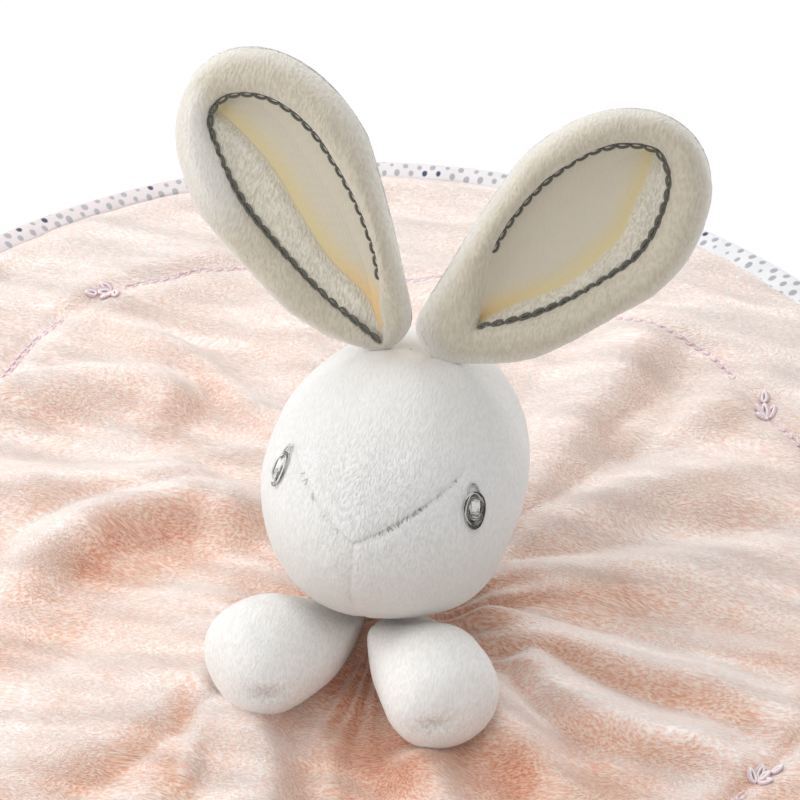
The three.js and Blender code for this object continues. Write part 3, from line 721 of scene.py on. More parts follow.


# %% [markdown]
# The photograph's cloth has smaller wrinkles too. They run beside the big folds, so each is a soft ridge or
# groove along a short line of places. Along some lines the velour is painted warmer as painted shade or paler as
# painted light, with no height at all. A noise would scatter such marks anywhere, so they are lines of the same
# kind. The ring of stitches pulls the cloth in, and it puffs up on both sides.

# %% Wrinkles
WRINKLES = [
    # height and half width in mm, then (distance, degrees) places
    (1.6, 5.0, [(60, 57), (95, 50), (127, 44)]),
    (2.0, 4.0, [(53, -142), (57, -129), (70, -118), (85, -112)]),
    (1.5, 4.0, [(45, -68), (62, -70), (90, -72)]),
    (1.4, 4.0, [(40, -100), (58, -88), (95, -84)]),
    (1.4, 4.5, [(78, 127), (90, 147), (104, 150)]),
    (1.6, 4.5, [(58, 12), (84, 10), (120, 8)]),
    (-2.0, 4.0, [(72, 57), (95, 60), (111, 61), (124, 63), (141, 70)]),
    (-1.6, 6.0, [(34, -11), (48, -23), (62, -28), (80, -30)]),
    (-1.6, 7.0, [(45, 168), (64, 178), (80, 188)]),
    (-1.5, 4.5, [(92, 144), (98, 148), (96, 153)]),
    (-1.6, 6.0, [(20, -84), (36, -82), (60, -78), (90, -77)]),
    (-1.4, 5.0, [(110, 122), (125, 126), (140, 130)]),
]
PAINTED_SHADE_LINES = [
    # painted shade where positive and painted light where negative: how much warmer it is painted, its half width,
    # then its places
    (0.45, 9.0, [(87, -173), (76, 178), (64, 168), (51, 161)]),
    (-0.35, 10.0, [(140, 160), (128, 158), (118, 155), (102, 151), (88, 149)]),
    (0.35, 9.0, [(130, 176), (118, 177), (107, 179), (99, 180)]),
    (0.35, 10.0, [(13, -108), (31, -94), (52, -88), (69, -85), (90, -83)]),
    (0.30, 8.0, [(34, -72), (44, -72), (53, -71), (65, -71), (80, -71)]),
    (0.25, 9.0, [(30, 32), (37, 29), (50, 25), (66, 24), (80, 23)]),
    (0.30, 2.8, [(52, -148), (56, -139), (63, -130), (68, -126), (76, -120), (84, -114), (94, -111)]),
    (0.40, 5.0, [(136, 73), (131, 71), (117, 66), (102, 65), (90, 64)]),
    (-0.25, 8.0, [(40, 55), (52, 50), (66, 46), (84, 42), (100, 38)]),
    (0.48, 15.0, [(34, -74), (47, -62), (60, -51), (70, -41), (84, -32), (104, -26)]),
    (-0.30, 9.0, [(36, -20), (46, -18), (66, -16), (88, -15), (109, -14)]),
    (0.25, 9.0, [(104, -126), (95, -125), (86, -124), (76, -124), (68, -123)]),
    (-0.30, 7.0, [(38, -136), (46, -136), (55, -135), (64, -137)]),
    (0.25, 7.0, [(110, -162), (92, -163), (74, -164), (61, -168)]),
]
RING_PLACES = [  # degrees about the blanket's middle, and the ring's distance from it
    (-180, 130), (-140, 131), (-100, 131), (-60, 132), (-26, 134.5), (-16, 136.5), (10, 134), (33, 131), (42, 126.5),
    (54, 129), (61, 124.5), (76, 120), (96, 114.5), (112, 121), (124, 126.5), (140, 131), (150, 129), (162, 122),
    (180, 130),
]  # fmt: skip


def ring_radius(turn):
    """The stitched ring's distance from the blanket's middle: it was sewn round and lies a little uneven."""
    degrees, far = np.array(RING_PLACES, float).T
    return np.interp(np.degrees(turn), degrees, far, period=360)


def bells(lines, x, y):
    """The sum of some lines at places in the plane: each falls off as a bell beside its line."""
    lift = np.zeros(x.shape)
    for high, wide, stops in lines:
        along, away, _ = beside(stops, x, y)
        lift += high * ease(along, -0.1, 0.25) * (1 - ease(along, 0.7, 1)) * bell(away, wide)
    return lift


def quilting(x, y):
    """The stitches' groove, the puffs beside it, and the lumps out to the hem, from the blanket's own middle."""
    middle_x, middle_y = x + NECK[0], y + NECK[1]
    across = np.hypot(middle_x, middle_y) - ring_radius(np.arctan2(middle_y, middle_x))
    flat = points_of(x, y, 0 * x)
    puffs = ease(across, -12, 6) * (1 - ease(across, 26, 36)) * (0.9 + 2.3 * lumps(flat, 19, seed=17))
    return puffs + 0.8 * bell(np.abs(across) - 6, 4) - 1.3 * bell(across, 2.0)


# %% [markdown]
# Under the chin the cloth is drawn together by hand into small uneven pleats. Modelling each one would take a long
# time, and a wave round the neck whose length wanders looks the same. All the heights then add up to one formula,
# so that stitches sewn on the cloth can ask it for their own places.

# %% Gathers, and the whole height


def gathers(out, turn):
    """Small pleats round the tie, 31 of them and uneven, shallower in front, that are gone 60 mm from the neck."""
    uneven = 31 * turn + 1.6 * np.sin(5 * turn + 1) + 1.1 * np.sin(9 * turn + 2)
    deep = 1.5 * ease(out, 6, 15) * (1 - ease(out, 18, 60)) * (1 - 0.65 * bell(turn - 3 * QUARTER, 0.6))
    return deep * np.sin(uneven) * (0.7 + 0.3 * np.sin(7 * turn))


def cloth_height(out, turn):
    """Height over the table of the velour's upper side, `out` mm from the neck's axis in a direction. It is the
    level cloth, the rise to the tie, folds, wrinkles, gathers and slow lumps, thinned to the hem at the edge."""
    hem = reach(turn, HEM_RADIUS) - HEM_WIDE
    root = STEM_RADIUS + 2.8
    share = (out - root) / (hem - root)
    x, y = out * np.cos(turn), out * np.sin(turn)
    inner = 1 - ease(share, 0.85, 1.0)
    tie = (STEM_TOP - CLOTH_TOP) * np.exp(-(((out - STEM_RADIUS) / 5.5) ** 1.3))
    flat = points_of(x, y, 0 * x)
    slow = 1.1 * lumps(flat, 34, seed=3) + 0.5 * lumps(flat, 15, seed=5)
    slow = slow + ease(out, 25, 60) * (0.1 + 0.35 * ease(-x, -20, 50)) * lumps(flat, 11, seed=6)
    lift = inner * (fold_lift(x, y) + bells(WRINKLES, x, y) + slow + 0.6) + gathers(out, turn) + quilting(x, y)
    level = mix(CLOTH_TOP, SHEET_BASE + HEM_THICK, ease(out, hem, hem + 0.7 * HEM_WIDE))
    rim = (1.5 + 0.7 * lumps(flat, 9, seed=15)) * bell(out - hem + 3.5, 3.2)
    return np.maximum(level + lift + tie + rim, SHEET_BASE + HEM_THICK), lift


# %% [markdown]
# The velour is one sheet. A plain square grid would run across the gathers, so its rows are rings about the neck.
# A real cloth has two sides, and Blender's Solidify gives it the second one and its thickness. Each point also
# carries a mark of painted shade and light: how warm the pile is painted there, worked out from its slope.

# %% Make the velour


def velour_top(columns=400, rows=104):
    """Rings about the neck from the tie to the hem, a little closer together near the tie."""
    turn = round_turns(columns)
    share = np.linspace(0, 1, rows)[:, None]
    last = reach(turn, HEM_RADIUS)
    out = mix(STEM_RADIUS, last, share**1.15)
    height, lift = cloth_height(out, turn)
    x, y = out * np.cos(turn), out * np.sin(turn)
    points = points_of(NECK[0] + x, NECK[1] + y, height)
    upright = unit(np.cross(np.gradient(points, axis=1), np.gradient(points, axis=0)))
    # painted light and shade: slopes that face the back get a paler colour, those that face the front a warmer one
    towards_front = upright @ np.array([0.45, -0.9, 0.0]) * np.sign(upright[..., 2].sum())
    flat = points_of(x, y, 0 * x)
    # painted shade in patches all over, stronger out towards the hem, for the puffs' shadows
    painted_puff_shade = 0.28 * lumps(flat, 18, seed=41) * ease(out, 60, 110) + 0.12 * lumps(flat, 8, seed=42)
    # painted shade: warmer on lower cloth and near the neck, under the head and arms
    hollow = np.clip(0.36 + 0.8 * towards_front - 0.02 * lift + 0.25 * bell(out, 40), 0, 0.8)
    # painted shade and light along listed lines, and the painted shade of the puffs
    hollow = np.clip(hollow + bells(PAINTED_SHADE_LINES, x, y) + painted_puff_shade, 0, 1)
    return piece(
        "velour_top", points, PINK_VELOUR, "blanket", "blanket_top",
        core=(0, 0, -400), marks={"hollow": hollow}, wall=1.2,
    )


velour = velour_top()

# %% [markdown]
# ## The printed back and its binding
# Behind the velour lies a second round, of printed jersey. On the real blanket the same jersey shows as a narrow
# strip that laps over the velour's edge. The back is a flat disc turned from a short profile. The strip
# is turned too, but its inner edge wanders and puckers, because it was turned in by hand and topstitched.

# %% The back


def jersey_back(columns=240):
    """A disc turned from a closed profile, with its rim rounded."""
    thick = BACK_THICK
    under = [(0, 0), (60, 0), (120, 0), (165, 0), (HEM_RADIUS - 0.4, 0), (HEM_RADIUS, 0.4)]
    over = [(radius, thick - height) for radius, height in under[::-1]]
    radius, height = np.array(under + over, float).T[:, :, None]
    turn = round_turns(columns)
    points = points_of(radius * np.cos(turn), radius * np.sin(turn), height)
    return piece(
        "jersey_back", points, DOTTED_JERSEY, "blanket", "blanket_back",
        marks={"print_along": points[..., 0] * MM, "print_across": points[..., 1] * MM},
    )


back = jersey_back()

# %% [markdown]
# The binding could be a pipe bent round the edge, but it is flat, soft and a little wavy. So it is a section of
# fifteen places, turned round the blanket, whose width and swelling change on the way with slow and quick waves.

# %% The binding


def binding_width(turn):
    """How far the strip laps in: 8 mm, up to 9.7 behind the toy's left, with small pulls where it is stitched."""
    wide = 8.0 + 1.7 * ease(np.cos(turn - np.radians(35)), 0.2, 1)
    return wide + 0.3 * np.sin(83 * turn) + 0.8 * np.sin(23 * turn + 1) * np.sin(11 * turn)


def edge_strip(columns=720):
    """The strip's section goes up the outside, over the hem and down to the velour, then back underneath. It swells
    between its two edges, more in some places than in others."""
    turn = round_turns(columns)
    foot = SHEET_BASE + HEM_THICK + SEAM_GAP
    top = foot + BINDING_THICK
    wide = binding_width(turn)
    outside = BLANKET_RADIUS + 0 * turn
    inside = outside - BINDING_THICK
    swell = 0.55 + 0.25 * np.sin(83 * turn) + 0.15 * np.sin(31 * turn)
    section = [
        (inside, 0.0), (outside - 0.3, 0.0), (outside, 0.4), (outside, foot - 0.6), (outside - 0.15, foot + 0.3),
        (outside - 0.7, top), (outside - 0.3 * wide, top + 0.8 * swell), (outside - 0.6 * wide, top + swell),
        (outside - 0.85 * wide, top + 0.5 * swell), (outside - 0.96 * wide, top), (outside - wide, foot + 0.3),
        (outside - 0.96 * wide, foot), (outside - 0.5 * wide, foot), (inside - 0.3, foot), (inside, foot - 0.4),
    ]  # fmt: skip
    radius = np.concatenate([r + 0 * turn for r, _ in section])
    height = np.concatenate([h + 0 * turn for _, h in section])
    points = points_of(radius * np.cos(turn), radius * np.sin(turn), height)
    steps = np.hypot(np.diff(radius, axis=0, prepend=radius[:1]), np.diff(height, axis=0, prepend=height[:1]))
    across = np.cumsum(steps, axis=0)
    sweep = 900 * np.abs((turn + np.radians(90)) % TURN / TURN - 0.5) * 2
    return piece(
        "edge_strip", points, DOTTED_JERSEY, "blanket", "edge_binding", along=True,
        marks={"print_along": (sweep + 0 * across) * MM, "print_across": across * MM},
    )


strip = edge_strip()

# %% [markdown]
# ## Chain stitch
# The dark line in the ears and the pink ring on the blanket are both chain stitch: each stitch is a loop of
# thread, and the next one comes up inside it. One function lays such loops along any line on a surface. Each
# loop is a small closed tube with few faces, because there are hundreds.

# %% Lay a chain along a line


def way_along(line):
    """How far along a line each of its points is."""
    return np.concatenate([[0], np.cumsum(np.linalg.norm(np.diff(line, axis=0), axis=1))])


def even_rows(line, rows, count):
    """Rows of numbers that belong to a line's points, at `count` even distances along it."""
    run = way_along(line)
    ends = np.linspace(0, run[-1], count)
    return np.column_stack([np.interp(ends, run, rows[:, k]) for k in range(rows.shape[1])])


def square_to(vectors, ahead):
    """The vectors less their share along `ahead`, each made one long."""
    return unit(vectors - (vectors * ahead).sum(-1)[..., None] * ahead)


def tubes(tracks, run, upright, thick, sides=5):
    """Tubes of `sides` faces round tracks that run along `run`: a circle of the given thickness about each place."""
    run = unit(run)
    above = square_to(upright, run)
    sideways = np.cross(run, above)
    angle = np.linspace(0, TURN, sides, endpoint=False)[:, None]
    ring = np.cos(angle) * sideways[..., None, :] + np.sin(angle) * above[..., None, :]
    return tracks[..., None, :] + ring * thick / 2


def chain_loops(line, normals, pitch, wide, thick, corners=10, lap=0.58):
    """Loops along a line, `pitch` apart or a little less. Each is an oval, pointed where it starts, that reaches its
    share `lap` of a stitch each way and leans a thread's thickness from the surface, and a tube follows it. Gives
    points shaped (loops, corners, sides, 3)."""
    count = 1 + max(2, int(np.ceil(way_along(line)[-1] / pitch)))
    places, upright = even_rows(line, line, count), even_rows(line, normals, count)
    start, end = places[:-1], places[1:]
    stitch = end - start
    ahead = unit(stitch)
    up = square_to(upright[:-1] + upright[1:], ahead)
    angle = np.linspace(0, TURN, corners, endpoint=False)
    outward = np.sin(angle) * (1 - 0.25 * np.cos(angle))
    ride = 0.4 + 0.6 * (1 + np.cos(angle)) / 2

    def spread(vectors, shares):
        return vectors[:, None, :] * shares[None, :, None]

    middle = ((start + end) / 2)[:, None, :] + spread(stitch, lap * np.cos(angle))
    middle = middle + spread(np.cross(up, ahead), outward * wide / 2) + spread(up, ride * thick)
    return tubes(middle, np.roll(middle, -1, axis=1) - np.roll(middle, 1, axis=1), up[:, None, :], thick)


# %% [markdown]
# The ring lies about 130 mm from the blanket's middle, in eleven runs with a leaf sprig at the start of each. The
# stitches have to lie on the folds, so their heights come from the cloth's own formula.

# %% On the cloth
SPRIGS = 11
SPRIG_FIRST = np.radians(40.3)
RING_PITCH, RING_WIDE, RING_THICK = 3.3, 1.6, 0.7


def on_cloth(x, y):
    """The velour's height and its upright direction at places measured from the blanket's middle."""

    def height(px, py):
        away = np.hypot(px - NECK[0], py - NECK[1])
        return cloth_height(away, np.arctan2(py - NECK[1], px - NECK[0]))[0]

    step = 0.8
    slope_x = (height(x + step, y) - height(x - step, y)) / (2 * step)
    slope_y = (height(x, y + step) - height(x, y - step)) / (2 * step)
    return points_of(x, y, height(x, y)), unit(points_of(-slope_x, -slope_y, 1.0))


def ring_runs():
    """The chain's loops, run by run: each starts beside its sprig, stops short of the next and sinks in a little."""
    loops = []
    for number in range(SPRIGS):
        first = SPRIG_FIRST - number * TURN / SPRIGS
        turn = np.linspace(first - np.radians(2.2), first - TURN / SPRIGS + np.radians(7.5), 90)
        radius = ring_radius(turn)
        place, upright = on_cloth(radius * np.cos(turn), radius * np.sin(turn))
        loops.append(chain_loops(place - 0.25 * upright, upright, RING_PITCH, RING_WIDE, RING_THICK))
    return np.concatenate(loops)


ring_points = ring_runs()
shade = np.tile(0.5 + 0.3 * np.sin(np.arange(ring_points.shape[1]) * 2.5), (len(ring_points), 1))[..., None]
ring = piece("ring_stitches", ring_points, RING_THREAD, "blanket", along=True, marks={"shade": shade})

# %% [markdown]
# Between two runs of the ring sits a sprig of five little embroidered leaves. A picture of them could be mapped on,
# but thread catches the light, so each leaf is a long loop of the same chain stitch with a narrower one inside.

# %% Leaf sprigs
LEAVES = [
    # start along the ring and across it (mm, outwards), direction in degrees from the ring's way, length, width
    (0.5, 0.0, 158, 6.4, 2.5),
    (0.8, 0.4, 118, 6.0, 2.4),
    (0.2, -0.5, -160, 6.6, 2.4),
    (1.6, -0.4, -118, 5.8, 2.4),
    (-3.4, 1.4, 150, 5.6, 2.2),
]


def sprig_threads():
    """Each leaf is a wide loop with a narrow one inside it, laid on the cloth. A chain has two loops at least, and
    the first is kept."""
    edges, fillings = [], []
    for number in range(SPRIGS):
        turn = SPRIG_FIRST - number * TURN / SPRIGS
        ahead, outwards = np.array([np.sin(turn), -np.cos(turn)]), np.array([np.cos(turn), np.sin(turn)])
        centre = ring_radius(turn) * outwards
        for along, across, degrees, long, wide in LEAVES:
            way = np.cos(np.radians(degrees)) * ahead + np.sin(np.radians(degrees)) * outwards
            start = centre + along * ahead + across * outwards
            track = start + np.linspace(0.3, long, 8)[:, None] * way
            place, upright = on_cloth(track[:, 0], track[:, 1])
            whole, up = place[[0, -1]], upright[[3, 3]]
            edges.append(chain_loops(whole, up, long, wide, 0.8, corners=16)[:1])
            fillings.append(chain_loops(whole, up, long, 0.55 * wide, 0.9, corners=16)[:1])
    return np.concatenate(edges), np.concatenate(fillings)


leaf_edges, leaf_fills = sprig_threads()
sprigs = piece("leaf_sprigs", leaf_edges, RING_THREAD, "blanket", along=True, marks={"shade": 0.7})
fills = piece("leaf_fills", leaf_fills, RING_THREAD, "blanket", along=True, marks={"shade": 0.05})

# %% [markdown]
# ## The tie and the knot
# Out of sight under the chin a wound thread holds the gathers, and a small stuffed ball above it takes the head's
# weight. They are simple: three turns of a twisted thread, and a ball with a nap.

# %% Tie and knot


def neck_tie(turns=3, columns=9, rows=260):
    """A tube that winds round the gathers; its section has three lobes that turn along it, as twisted thread."""
    way = np.linspace(0, 1, rows)[:, None]
    angle = way * turns * TURN
    radius = STEM_RADIUS + 1 + 0.55
    centre = points_of(
        NECK[0] + radius * np.cos(angle), NECK[1] + radius * np.sin(angle), CLOTH_TOP + 4.2 + 1.5 * way
    )
    out = points_of(np.cos(angle), np.sin(angle), 0 * angle)
    side = round_turns(columns)
    thick = 0.42 * (1 + 0.2 * np.cos(3 * side - 40 * angle)) * np.sqrt(np.clip(np.minimum(way, 1 - way) * 60, 0, 1))
    up = np.array([0, 0, 1.0])
    points = centre + thick[..., None] * (np.cos(side)[..., None] * out + np.sin(side)[..., None] * up)
    return piece("neck_tie", points, NECK_THREAD, "blanket", "neck_thread", marks={"shade": 0.4})


neck_tie()

KNOT_RADIUS = 9.5
KNOT_CENTRE = np.array([16.3, -27.4, 21.674])


def ball(columns=72, rows=40):
    """Directions over a whole ball, pole to pole."""
    turn = round_turns(columns)
    rise = np.linspace(-QUARTER, QUARTER, rows)[:, None]
    return points_of(np.cos(rise) * np.cos(turn), np.cos(rise) * np.sin(turn), np.sin(rise))


way = ball()
nap = 1 + 0.015 * lumps(way * 10, 2.2, seed=7)
knot = piece(
    "knot_ball", KNOT_CENTRE + way * (KNOT_RADIUS * nap)[..., None], WHITE_PLUSH, "neck", "neck_knot",
    marks={"seam_and_shade": 0.0, "ruffled": 0.5},
)

# %% [markdown]
# ## The head
# The head is an egg whose long way points down to the muzzle. It is sewn from five panels: a forehead piece that
# narrows to a point on the nose, two for the face and two for the back. Where they meet, the plush is pulled in
# and the pile stands up on both sides. A sculpted ball with a drawn line would not catch the light
# there, so each panel is its own skin, full in its middle and dipped to its seams.

# %% The egg
HEAD_WIDTH, HEAD_LENGTH, HEAD_HEIGHT = 67.5, 90.0, 62.5
MUZZLE_SLANT = np.radians(26)
HEAD_TIP_BACK = np.radians(25)
PLUSH_THICK = 1.6
NECK_TO_HEAD = 29.431
NECK_OPENING = 11.0
NOSE_POINT = np.radians(-9)
GUSSET_HALF = np.radians(43.5)
GUSSET_FULL_AT = np.radians(52)
GUSSET_POWER = 2.3


def head_point(way, offset=0.0):
    """A place on the egg in a direction: one over the length of the direction measured in half axes of the egg,
    whose long axis slants down to the front, plus an offset."""
    x, y, z = np.moveaxis(way, -1, 0)
    along = y * np.cos(MUZZLE_SLANT) + z * np.sin(MUZZLE_SLANT)
    up = z * np.cos(MUZZLE_SLANT) - y * np.sin(MUZZLE_SLANT)
    egg = np.sqrt((2 * x / HEAD_WIDTH) ** 2 + (2 * along / HEAD_LENGTH) ** 2 + (2 * up / HEAD_HEIGHT) ** 2)
    return way * np.asarray(1 / egg + offset)[..., None]


def tipped_back(points):
    """From the head's own frame to the toy's: tipped back about the knot, and set on it."""
    raised = points + np.array([0, 0, NECK_TO_HEAD])
    y = raised[..., 1] * np.cos(HEAD_TIP_BACK) + raised[..., 2] * np.sin(HEAD_TIP_BACK)
    z = raised[..., 2] * np.cos(HEAD_TIP_BACK) - raised[..., 1] * np.sin(HEAD_TIP_BACK)
    return points_of(raised[..., 0], y, z) + KNOT_CENTRE


def towards(turn, rise):
    """A direction by its turn from the face and its rise."""
    level = np.cos(rise)
    return points_of(level * np.sin(turn), -level * np.cos(turn), np.sin(rise))


def over_head(side, over):
    """A direction by its angle to the side and its angle over the head from the face."""
    level = np.cos(side)
    return points_of(np.sin(side), -level * np.cos(over), level * np.sin(over))


def gusset_half(over):
    """Half the forehead piece's width as an angle: nothing at the nose, and full 52 degrees further up."""
    way = np.clip((over - NOSE_POINT) / GUSSET_FULL_AT, 0, 1)
    return GUSSET_HALF * (1 - (1 - way) ** GUSSET_POWER)


def seam_rise(turn):
    """The rise of the V seam at a turn from the face, by halving the angle over the head forty times."""
    low, high = np.full(turn.shape, NOSE_POINT), np.full(turn.shape, QUARTER)
    for _ in range(40):
        over = (low + high) / 2
        x, y, _ = np.moveaxis(over_head(gusset_half(over), over), -1, 0)
        short = np.arctan2(x, -y) < turn
        low, high = np.where(short, over, low), np.where(short, high, over)
    return np.arcsin(over_head(gusset_half(low), low)[..., 2])


# %% [markdown]
# A panel is a sheet of plush that is stretched over the stuffing. It could be cut from the egg by its outline, but
# then its edge would have steps, so a grid is fitted between its four sides. The stuffing isn't even: the toy's
# left cheek is fuller than the egg, and beside it the chin is drawn in.

# %% A panel
NECK_EDGE = -np.arccos(2 * NECK_OPENING / HEAD_WIDTH)
HEAD_CORE = tipped_back(np.zeros(3))
NOSE_SPOT = tipped_back(head_point(over_head(0.0, NOSE_POINT + 0.25)))
CROWN_SPOT = tipped_back(head_point(over_head(0.0, QUARTER)))
HEAD_FORMS = [  # turn from the face and rise in degrees, fullness and half width in mm
    (58.0, -36.0, 2.4, 13),
    (12.0, -48.0, -1.2, 12),
]


def grid(count=96):
    """Shares across and up a panel."""
    return np.linspace(0, 1, count)[None, :], np.linspace(0, 1, count)[:, None]


def from_spot(points, spot):
    """How far each point is from a spot."""
    return np.linalg.norm(points - spot, axis=-1)


def panel(name, way, node, dips):
    """A panel's skin: its four sides dip to their seams in a narrow roll, with small puckers where the stitches
    pull, and slow lumps of stuffing under all of it. `dips` gives how deep each side dips, as a number or a table.
    The pile is ruffled round the nose, and the plush is darker low on the head and between the ears, where little
    light gets in."""
    a, b = grid(len(way))
    flat = head_point(way)
    wide = np.linalg.norm(np.diff(flat, axis=1), axis=-1).sum(1)[:, None]
    tall = np.linalg.norm(np.diff(flat, axis=0), axis=-1).sum(0)[None, :]
    edges = [a * wide, (1 - a) * wide, b * tall, (1 - b) * tall]
    dip, groove = np.zeros(way.shape[:-1]), np.zeros(way.shape[:-1])
    stitch = lumps(flat, 1.5, seed=11)
    for away, share in zip(edges, dips):
        near = np.exp(-((away / 1.7) ** 1.3))
        dip = np.maximum(dip, share * near * (0.7 + 0.35 * stitch))
        groove = np.maximum(groove, share * bell(away, 0.45) * (0.6 + 0.4 * stitch))
    soft = 0.45 * lumps(flat, 16, seed=2) + 0.1 * lumps(flat, 2.6, seed=4)
    lift = soft * (1 - groove) - dip
    for turn, rise, full, half in HEAD_FORMS:
        lift = lift + full * bell(from_spot(flat, head_point(towards(*np.radians((turn, rise))))), half)
    points = tipped_back(head_point(way, lift))
    ruffled = 0.1 + 0.9 * bell(from_spot(points, NOSE_SPOT), 21) * (0.8 + 0.2 * lumps(points, 7, seed=9))
    from_crown = from_spot(points, CROWN_SPOT)
    # painted shade: darker low on the head and at the crown between the ears
    shaded = 0.4 * ease(-way[..., 2], 0.0, 0.6) + 0.7 * bell(from_crown, 8) + 0.22 * bell(from_crown, 22)
    return piece(
        name, points, SHADED_HEAD_PLUSH, "head", node, around=False, core=HEAD_CORE,
        marks={"seam_and_shade": np.clip(0.5 * groove + shaded, 0, 1), "ruffled": ruffled}, wall=PLUSH_THICK,
    )


# %% The five panels


def forehead_way(a, b):
    """The forehead piece runs from the nose point to the crown, as wide as its half width each side."""
    over = mix(NOSE_POINT + 0.004, QUARTER, b)
    return over_head(mix(-gusset_half(over), gusset_half(over), a), over)


def v_depth(way):
    """How deep the V's arms dip: full on the toy's left and less on its right, and gone higher on the head."""
    over = np.arctan2(way[..., 2], -way[..., 1])
    full = mix(0.66, 1.0, ease(way[..., 0], -0.1, 0.1))
    return full * (1 - ease(over, np.radians(12), np.radians(34)))


def face_way(side, a, b):
    """A face panel runs from the chin seam to the ear's line and from the neck up to the V seam."""
    turn = QUARTER * a
    return towards(side * turn, mix(NECK_EDGE, seam_rise(turn), b))


def back_way(side, a, b):
    """A back panel runs from the ear's line to the seam down the back, and from the neck to the crown."""
    return towards(side * mix(QUARTER, 2 * QUARTER, a), mix(NECK_EDGE, QUARTER - 0.01, b))


forehead = forehead_way(*grid())
panel("forehead_plush", forehead, "forehead_gusset", (v_depth(forehead), v_depth(forehead), 0.2, 0.0))
for side, word in SIDES:
    face, behind = face_way(side, *grid()), back_way(side, *grid())
    panel(f"face_plush_{word}", face, f"face_{word}", (0.5, 0, 0, v_depth(face)))
    panel(f"back_plush_{word}", behind, f"head_back_{word}", (0, 0.8 * (1 - ease(grid()[1], 0.7, 0.92)), 0, 0))

# %% [markdown]
# The stuffing can't be seen, but the part is an assembly and somebody may open it. One closed skin a little inside
# the panels is enough: nobody models the fibres. It leaves a hollow for the knot that the head rocks on.

# %% The head's stuffing
KNOT_HOLLOW, HOLLOW_RIM, STUFFING_INSET = 10.2, np.radians(104), 3.8


def head_fill(columns=72, rows=60):
    """One skin from the hollow over the knot, round its rim and up the inside of the panels to the crown."""
    turn = round_turns(columns)
    down = np.linspace(0, HOLLOW_RIM, 16)[:, None]
    out, up = KNOT_HOLLOW * np.sin(down), KNOT_HOLLOW * np.cos(down) - NECK_TO_HEAD
    hollow = points_of(out * np.cos(turn), out * np.sin(turn), up)
    way = towards(turn + QUARTER, np.linspace(NECK_EDGE + 0.12, QUARTER, rows)[:, None])
    outside = head_point(way, -STUFFING_INSET + 0.3 * lumps(way * 30, 9, seed=6))
    return tipped_back(np.concatenate([hollow, outside]))


stuffing = piece("head_fill", head_fill(), FIBRE_FILL, "head", "head_stuffing")

# %% [markdown]
# ## Stitches on the face
# The V seam shows as a row of little dark pulls where the machine's needle went in, clearest on the toy's left.
# They are short threads across the seam, too many to place by hand and too few to need a texture.

# %% Short threads
TICK_THICK, EYE_THREAD_THICK = 0.34, 0.42


def strands(tracks, thick):
    """Tubes along many short tracks on the head, shaped (strands, points, 3), thin at both ends."""
    share = np.linspace(0, 1, tracks.shape[1])
    taper = np.sqrt(np.clip(np.minimum(share, 1 - share) * 8, 0, 1))
    return tubes(tracks, np.gradient(tracks, axis=1), tracks - HEAD_CORE, (thick * taper)[:, None, None])


def seam_ticks(seed=8):
    """Little pulls along both arms of the V, at uneven distances and leaning in turn: many on the toy's left, a few
    faint ones on the right."""
    random = np.random.default_rng(seed)
    tracks, darker = [], []
    for side, first, last, count in ((1, 0.0, 0.6, 34), (-1, 0.03, 0.4, 13)):
        share = np.sort(random.uniform(first, last, count))
        over = NOSE_POINT + 0.01 + GUSSET_FULL_AT * share
        middle = over_head(side * (gusset_half(over) - 0.006), over)
        lean = over_head(side * gusset_half(over + 0.02), over + 0.02) - middle
        cross, lean = unit(np.cross(middle, lean)), unit(lean)
        long = random.uniform(0.25, 1.15, count)[:, None]
        slant = random.uniform(-0.9, 1.1, count)[:, None]
        way = np.linspace(-1, 1, 6)
        bend = (lean * random.uniform(-0.3, 0.3, count)[:, None])[:, None, :] * (way**2)[None, :, None]
        steps = (cross * long + lean * long * slant)[:, None, :] * way[None, :, None] + bend
        size = np.linalg.norm(head_point(middle), axis=1)[:, None, None]
        aim = unit(middle[:, None, :] * size + steps)
        tracks.append(head_point(aim, -0.62 + 0.4 * way[None, :] ** 2 * np.ones((count, 1))))
        darker.append(random.uniform(0.2, 0.8, count) * (1 if side > 0 else 0.5))
    return np.concatenate(tracks), np.concatenate(darker)


tick_tracks, tick_shades = seam_ticks()
piece(
    "seam_stitches", strands(tipped_back(tick_tracks), TICK_THICK), EYE_THREAD, "head",
    marks={"shade": tick_shades[:, None, None]},
)

# %% [markdown]
# ## The eyes
# Each eye is embroidered: a dark ring wound several times, grey stitches that fill its lower part, a few white
# ones for the glint, and two thin threads above for the lid. The toy's right eye came out narrower, and its strokes
# are broken. A printed eye would be flat, so these are threads too, laid on a thin pad that follows the cheek.

# %% The eye's threads
EYES = {1: np.radians((45.5, 5.0)), -1: np.radians((42.8, 8.4))}  # turn and rise of each, by its side
EYE_MIDDLE = -0.9  # the ring's middle, below the middle of ring and lid together


def on_cheek(side, across, up, lift):
    """A place on the head from millimetres across and up from the eye's middle, lifted off the plush."""
    eye_turn, eye_rise = EYES[side]
    size = np.linalg.norm(head_point(towards(eye_turn, eye_rise)))
    rise = eye_rise + up / size
    turn = eye_turn + across / (size * np.cos(rise))
    return tipped_back(head_point(towards(side * turn, rise), lift))


